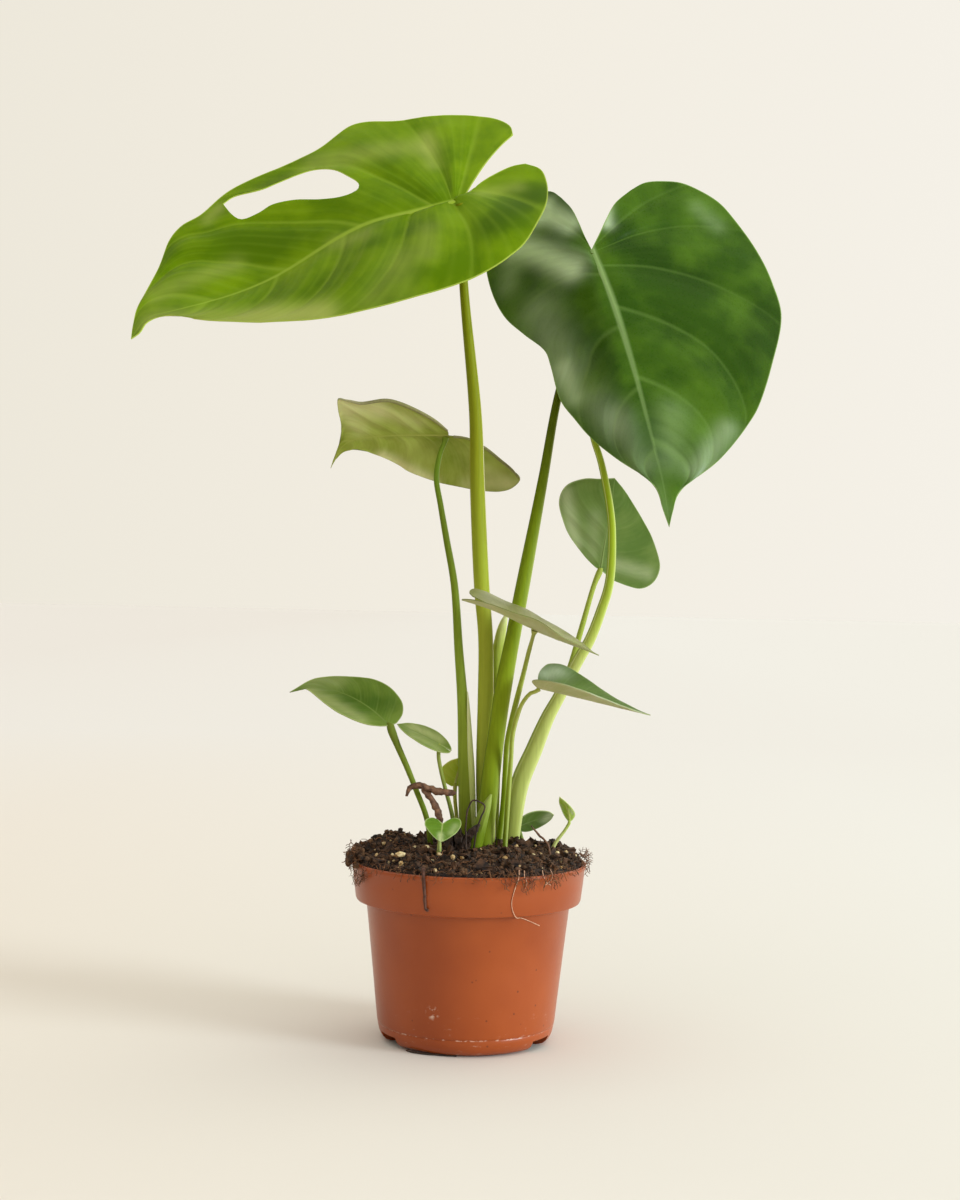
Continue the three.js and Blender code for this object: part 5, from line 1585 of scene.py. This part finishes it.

# %% [markdown]
# Seedlings and new leaves stand at the foot of the stems. The youngest is still folded, and
# shines as if wet, with a clear coat and painted glints.

# %% Seedlings
BLADES.update({
    "blade_small_middle": {
        "skin": "pale", "slot": "leaf_pale", "cells": (36, 12), "thick": 0.4,
        "size": 16, "veins": 4, "pleat": 0.15, "rib_size": 0.4,
        "at": (-8, 9.6, 127.8), "turn": (-75, 70, 0),
        "rib": [(0, 0), (5, 0.4), (10, 1), (16, 1.4)],
        "left": {"notch": [(0, 0), (-0.5, 1), (-0.5, 2)],
            "margin": [(-0.5, 2), (0.5, 5), (3, 7), (7, 7.5), (12, 6), (16, 1.4)]},
        "right": {"notch": [(0, 0), (-0.5, -1), (-0.5, -2)],
            "margin": [(-0.5, -2), (1.5, -5.2), (4.5, -8), (9, -8.6), (13.5, -5), (16, 1.4)]},
    },
    "blade_base_left": {
        "skin": "bright", "slot": "petiole_bright", "cells": (36, 12), "thick": 0.4,
        "size": 11, "veins": 3, "pleat": 0.2, "rib_size": 0.2,
        "at": (-13.4, -26, 112.3), "turn": (-95, -42, 0),
        "droop": -0.01, "fold": 0.1, "soft": 2,
        "painted_sheen": [(6, 5, 2, 6.5, 2, 0.5), (7, -0.5, 11, 0, 1.5, 0.9)],
        "rib": [(0, 0), (4, 0), (8, 0), (11, 0)],
        "left": {"notch": [(0, 0), (-1, 1.2), (-2, 2.4)],
            "margin": [(-2, 2.4), (-3.6, 5.4), (-2.4, 8.6), (1.6, 9.4), (5.8, 7.4), (9.2, 3.6), (11, 0)]},
        "right": {"notch": [(0, 0), (-1, -1.2), (-2, -2.4)],
            "margin": [(-2, -2.4), (-3.4, -5.4), (-1.8, -8.4), (1.6, -8.8), (5.4, -6.4), (9, -3), (11, 0)]},
    },
    "blade_base_right": {
        "skin": "grey", "slot": "leaf_grey_green", "cells": (36, 12), "thick": 0.4,
        "size": 19, "veins": 4, "pleat": 0.1, "rib_size": 0.12,
        "at": (25.5, 15, 106.6), "turn": (15, 24, -50),
        "droop": -0.008, "painted_sheen": [(15, 2, 18, -1, 3, 0.8)],
        "rib": [(0, 0), (6, 0), (12, 0), (19.2, 0)],
        "left": {"notch": [(0, 0), (-0.5, 1), (-0.5, 2)],
            "margin": [(-0.5, 2), (1, 5), (5, 7.4), (11, 7.2), (17, 3.8), (19.2, 0)]},
        "right": {"notch": [(0, 0), (-0.5, -1), (-0.5, -2)],
            "margin": [(-0.5, -2), (1, -5), (5, -7), (11, -6.6), (17, -3.4), (19.2, 0)]},
    },
    "blade_seedling": {
        "skin": "young", "slot": "leaf_young", "cells": (36, 12), "thick": 0.4,
        "size": 13, "veins": 4, "pleat": 0.1, "rib_size": 0.3,
        "at": (50.9, -5, 112.4), "turn": (-100, 68, 0),
        "fold": 0.35, "soft": 1.5,
        "painted_sheen": [(4, 1.6, 6.5, 0.6, 0.6, 1.0), (6, -3.4, 8.5, -4.2, 0.5, 0.9)],
        "rib": [(0, 0), (4, -0.2), (8, -1.4), (13, -5)],
        "left": {"notch": [(0, 0), (0, 0.6), (0.2, 1.2)],
            "margin": [(0.2, 1.2), (3, 2.8), (6, 2.2), (10, -0.8), (13, -5)]},
        "right": {"notch": [(0, 0), (0, -0.6), (0.2, -1.2)],
            "margin": [(0.2, -1.2), (3, -3), (7, -4.6), (10, -5.4), (13, -5)]},
    },
})
print("blades:", len(BLADES))

# %% [markdown]
# One loop makes all the blades and puts each in the place of its plain solid. A blade whose
# table has no right half is even, and its left half is mirrored.

# %% Growing the blades
def mirrored(half):
    """The lines of the other half of an even blade."""
    return {line: [(s, -w) for s, w in points] for line, points in half.items()}


for node, blade in BLADES.items():
    blade.setdefault("right", mirrored(blade["left"]))
    upper, under = SKINS[blade["skin"]]
    settle(blade_piece(node, blade, upper, under), blade["slot"], node)
print("blades made:", ", ".join(BLADES))

# %% [markdown]
# The middle left blade shows its underside, and its upper margins roll over towards the
# camera, so that a narrow dark band of the other side is seen. The roll is a thin tube along
# the margin.

# %% Rolled margins
ROLLS = [
    [(52, 33.5, 0.3), (47, 31.4, 0.6), (41.5, 29, 0.8), (29, 29.8, 0.9), (22, 26.6, 1.0), (10, 17.3, 0.9),
     (4, 11.3, 0.8), (-1, 5, 0.5)],
    [(-4, 0.6, 0.7), (-9, -0.4, 0.6), (-14, -2.6, 0.4)],
    [(-14, -2.6, 0.3), (-20.5, -8.5, 0.7), (-27, -16, 0.8), (-34, -24, 0.7), (-37, -29, 0.3)],
]
mid_left = BLADES["blade_mid_left"]
roll_pieces = []
for roll in ROLLS:
    s, w, size = (np.array(column, float) for column in zip(*roll))
    places = in_place(mid_left, s, w, blade_height(mid_left, s, w))
    path = [(*place, radius) for place, radius in zip(places, size)]
    roll_pieces.append(tube("rolled_margin", path, sides=10, step=1.0))
rolls = join(roll_pieces, "rolled_margins")
rolls.data.materials.append(living_skin("skin_rolled_margin",
                                        [(0, "#96906a"), (0.5, "#7c784a"), (1, "#8a8458")]))
settle(rolls, "leaf_olive_underside")
print("rolled margins:", len(ROLLS))

# %% [markdown]
# Old growth stays at the foot of the plant. Dead tissue has lost its wax and its water: it is
# matt and fibrous, in two tones that are darker where its fine bumps dip, and it wrinkles.
# The wrinkles are made by pushing each vertex along a smooth noise.

# %% Dry tissue
def dry_skin(name, dark, light):
    """Dead plant tissue: fibrous, with spots drawn 2.4 mm wide, as finer ones would not show."""
    return earth_skin(name, dark, light, 2.381, 0.75, (0.35, 0.7), 0.65, (0.8, 0.3))


noise.seed_set(7)      # without a seed, the folds would follow the clock


def wrinkle(piece, amount, size):
    """Pushes each vertex by a smooth noise, in mm, with folds of the given size."""
    for vertex in piece.data.vertices:
        vertex.co += noise.noise_vector(vertex.co / MM / size) * amount * MM
    piece.data.update()


print("helpers for dry growth: dry_skin, wrinkle")

# %% [markdown]
# A dry stalk stands at the left of the stems and bends over at its top. It is two tubes
# joined, so that it keeps a knee where the real one has cracked.

# %% Dried stalk
brown = dry_skin("dried_stalk_skin", "#412616", "#8a6142")
arch = tube("dried_arch", [(-7, -17, 126.5, 0.8), (-10.5, -17, 126.8, 1.5), (-18, -17, 127.8, 1.7),
                           (-26, -17, 130, 1.7), (-30.5, -17, 128.6, 1.3), (-32, -17, 124.5, 0.5)],
            sides=12, step=0.8, ridges=[(0, 0.3, 25, 0, 1.1)])
foot = tube("dried_foot", [(-14.5, -17, 87, 1.4), (-14.5, -17, 101, 1.5), (-15.5, -17, 114, 1.8),
                           (-17.5, -17, 120, 1.9), (-20.5, -17, 124.5, 1.7), (-24, -17, 128.2, 1.0)],
            sides=12, step=0.8, ridges=[(60, 0.3, 25, 0, 1.1)])
dried = join([arch, foot], "dried_stalk")
wrinkle(dried, 0.9, 2.2)
dried.data.materials.append(brown)
settle(dried, "plant_dried", "stalk_dried")
print("dried stalk:", len(dried.data.polygons), "faces")

# %% [markdown]
# An old sheath has split into three dark strips, each a wide tube with two ridges. They are
# joined first and wrinkled together, so that folds run across from one to the next.

# %% Old sheath
dark = dry_skin("dried_sheath_skin", "#1d120b", "#4a3222")
SHEATH_STRIPS = [
    [(-9, -19, 94, 1.7), (-9.5, -19.5, 104, 2.0), (-8, -20, 109.5, 0.8)],
    [(-4.5, -19, 94, 2.6), (-4.5, -19, 100, 2.6), (-5, -19.5, 105, 2.5), (-5.8, -20, 110.5, 1)],
    [(-2, -19.5, 95, 2.2), (-0.4, -20.5, 105, 2.4), (3.2, -21.5, 110, 1.4), (4.8, -22, 111.8, 0.5)],
]
old_sheath = join([tube("sheath_strip", rooted(strip), sides=16, step=0.6,
                        ridges=[(20, 0.7, 12, 0, 1.1), (-50, 0.6, 12, 0, 1.1)])
                   for strip in SHEATH_STRIPS], "old_sheath")
wrinkle(old_sheath, 1.0, 2.0)
old_sheath.data.materials.append(dark)
settle(old_sheath, "plant_dark", "sheath_dried")
print("old sheath:", len(SHEATH_STRIPS), "strips")

# %% [markdown]
# A wiry root loops up in front of the stems and back into the soil, and a short twig leans
# at the right. Both are thin tubes, less wrinkled than the sheath.

# %% Loop and twig
LOOP_RADIUS = 0.42
LOOP_PATH = [(2.2, -22, 96), (2.8, -23, 104), (4, -24.6, 110.5), (5.5, -25, 115.5), (7.5, -25, 121),
             (5, -25, 123.4), (1.5, -25, 124), (-1, -25, 119.5), (-1.8, -25, 113), (-1.5, -25, 101),
             (-1.5, -25, 90)]
loop = tube("wiry_loop", [(*place, LOOP_RADIUS) for place in LOOP_PATH], sides=8, step=0.8)
wrinkle(loop, 0.25, 3)
loop.data.materials.append(dark)
settle(loop, "plant_dark", "loop_dark")

twig = tube("twig_piece", rooted([(41, -12, 93, 0.6), (39.8, -12, 101, 0.6), (35, -12, 106, 0.55),
                                  (31, -12, 110.5, 0.3)], 6), sides=8, step=0.8)
wrinkle(twig, 0.3, 2)
twig.data.materials.append(brown)
settle(twig, "plant_dried", "twig")
print("loop and twig:", len(loop.data.polygons) + len(twig.data.polygons), "faces")

# %% [markdown]
# Fine coir fibres lie all over the soil and hang over the rim. Four bent threads are
# modelled, each with a few dozen faces, and copied: they lie nearly flat on the bed and
# hang outward at the rim. Coir is thinner than the 0.34 mm that is drawn, which is the
# least that shows.

# %% Threads
ABOVE_RIM_DIP = 20
BELOW_RIM_DIP = 60


def fibre_shape(name, seed, radius=0.17):
    """A bent thread about 10 mm long through the origin."""
    bend = random.Random(seed)
    path = [(x, bend.uniform(-1.3, 1.3), bend.uniform(-0.8, 0.8), radius) for x in (-5, -2.5, 0, 2.5, 5)]
    return tube(name, path, sides=4, step=1.4)


def aim(heading, dip):
    """A turn that points a thread along a heading and dips its far end, in degrees."""
    turn = Matrix.Rotation(math.radians(heading), 3, "Z") @ Matrix.Rotation(math.radians(dip), 3, "Y")
    return turn @ Matrix.Rotation(draw.uniform(0, 6.3), 3, "X")


def lying(count):
    """Spots for threads that lie on the bed."""
    spots = []
    for _ in range(count):
        x, y, z = on_soil(57)
        size = draw.uniform(0.35, 1.0)
        z += draw.uniform(0.2, 1.2)
        spots.append((x, y, z, (size, size, 1), aim(draw.uniform(0, 360), draw.gauss(0, 14))))
    return spots


def hanging(count, low_angle, high_angle, low, high, size, out=(58.5, 61.5)):
    """Spots for threads that reach over the rim between two angles and two heights."""
    spots = []
    for _ in range(count):
        angle = draw.uniform(low_angle, high_angle)
        z = draw.uniform(low, high)
        radius = draw.uniform(*out) if z > RIM_HEIGHT else draw.uniform(60.6, out[1] + 0.5)
        x, y = (radius * turn(math.radians(angle)) for turn in (math.cos, math.sin))
        steep = ABOVE_RIM_DIP if z > RIM_HEIGHT else BELOW_RIM_DIP
        reach = size * draw.uniform(0.5, 1.1)
        heading = angle + draw.gauss(0, 65)
        spots.append((x, y, z, (reach, reach, 1), aim(heading, steep + draw.gauss(0, 28))))
    return spots


print("threads dip", ABOVE_RIM_DIP, "degrees above the rim and", BELOW_RIM_DIP, "below it")

# %% [markdown]
# The root ball stands proud of the pot at the left, so the threads are thickest there. Each
# hanging group is given by its number, the angles it spans, its two heights and its length.

# %% Coir fibres
threads = scatter([fibre_shape(f"thread_{n}", n) for n in range(4)], "coir_fibres", [
    *lying(620),
    *hanging(80, 172, 204, 90, 98, 0.8, (55, 61.5)), *hanging(44, 198, 213, 82, 92, 0.6),
    *hanging(46, -16, 14, 89, 96, 0.65), *hanging(120, 215, 345, 89, 94, 0.55),
    *hanging(46, 286, 318, 85, 92, 0.8)])
threads.data.materials.append(earth_skin("coir_fibre", "#2c170b", "#85562f", 5, 0.8))
settle(threads, "potting_soil")
print("coir fibres:", len(threads.data.polygons), "faces")

# %% [markdown]
# Crumbs have gathered on the rim at the left, where the root ball presses against it.

# %% Crumbs on the rim
RIM_CRUMBS = 190
RIM_CRUMB_ANGLE = 189

rim_spots = []
for _ in range(RIM_CRUMBS):
    angle = math.radians(draw.gauss(RIM_CRUMB_ANGLE, 9))
    radius = draw.uniform(56, 62.5)
    z = 96.5 - 0.9 * (radius - 56) + draw.gauss(0, 1.2)
    size = draw.uniform(0.5, 1.7)
    place = (radius * math.cos(angle), radius * math.sin(angle), z)
    rim_spots.append((*place, (size,) * 3, any_turn()))
rim_crumbs = scatter([crumb_shape(f"rim_crumb_{n}", n + 20, 0.35) for n in range(3)],
                     "rim_crumbs", rim_spots)
rim_crumbs.data.materials.append(earth_skin("rim_peat", "#1b0f06", "#6a4828", 5))
settle(rim_crumbs, "potting_soil")
print("crumbs on the rim:", len(rim_spots))

# %% [markdown]
# A thick root has grown over the rim and hangs down the front of the pot. Its line is drawn
# on the pot's own wall, which a function reads from the pot's outline, so it lies close
# everywhere.

# %% Root over the rim
OUTSIDE_POINTS = 19


def on_pot(x, z, off):
    """A point on the front of the pot at a sideways place and a height, off its wall."""
    outside = POT_PROFILE[:OUTSIDE_POINTS]
    radius = float(np.interp(z, [h for _, h in outside], [r for r, _ in outside])) + off
    return x, -math.sqrt(radius * radius - x * x), z


STRAND_PATH = [(-21.7, -53, 93.5), (-21.7, -56.5, 91.8), on_pot(-21.4, 88, 0.7), on_pot(-20.8, 82, 0.6),
               on_pot(-20.5, 76.5, 0.6), on_pot(-20.0, 74.4, 0.7), on_pot(-19.0, 74.0, 0.8)]
strand = tube("root_strand", [(*place, 0.95 - 0.04 * n) for n, place in enumerate(STRAND_PATH)],
              sides=10, step=0.7, ridges=[(0, 0.2, 30, 0, 1.2)])
wrinkle(strand, 0.25, 2)
strand.data.materials.append(dry_skin("root_strand_skin", "#35190d", "#63371f"))
settle(strand, "potting_soil")
print("root over the rim:", len(strand.data.polygons), "faces")

# %% [markdown]
# Four pale hair roots cling to the pot at the right, and a dark root lies at its foot. They
# are thin tubes, 0.4 mm and 1 mm across, with six or eight sides.

# %% Hair roots
PALE_ROOT_RADIUS = 0.2
PALE_ROOTS = [
    [(24.5, -53, 94), on_pot(24.3, 90.5, 0.5), on_pot(22.6, 85, 0.3), on_pot(21.2, 79, 0.3),
     on_pot(21.6, 75, 0.3), on_pot(23.3, 71.2, 0.6), on_pot(26.2, 69.6, 0.6), on_pot(29.6, 68, 0.4),
     on_pot(35.4, 64.6, 0.3)],
    [(36, -46, 93), on_pot(36.5, 90.6, 0.4), on_pot(38.4, 87, 0.3), on_pot(40.2, 85.6, 0.4)],
    [(40, -43, 93), on_pot(41, 90.6, 0.4), on_pot(40.2, 88, 0.3), on_pot(37.6, 86, 0.4)],
    [(27, -52, 93.6), on_pot(27.2, 90.6, 0.4), on_pot(28.4, 88, 0.3), on_pot(27.6, 85, 0.4)],
]
roots = join([tube("pale_root", [(*place, PALE_ROOT_RADIUS) for place in path], sides=6, step=0.8)
              for path in PALE_ROOTS], "pale_roots")
roots.data.materials.append(earth_skin("pale_root_skin", "#c98f6c", "#e6bd9c", 3, 0.6))
settle(roots, "potting_soil")

foot_root = tube("foot_root", [(-29, -31.5, 0.5, 0.3), (-26, -34.5, 0.6, 0.45), (-20, -37.5, 0.6, 0.5),
                               (-12, -39.4, 0.6, 0.5), (-4, -40.6, 0.5, 0.4)], sides=8, step=0.8)
foot_root.data.materials.append(dark)
settle(foot_root, "potting_soil")
print("hair roots:", len(PALE_ROOTS))
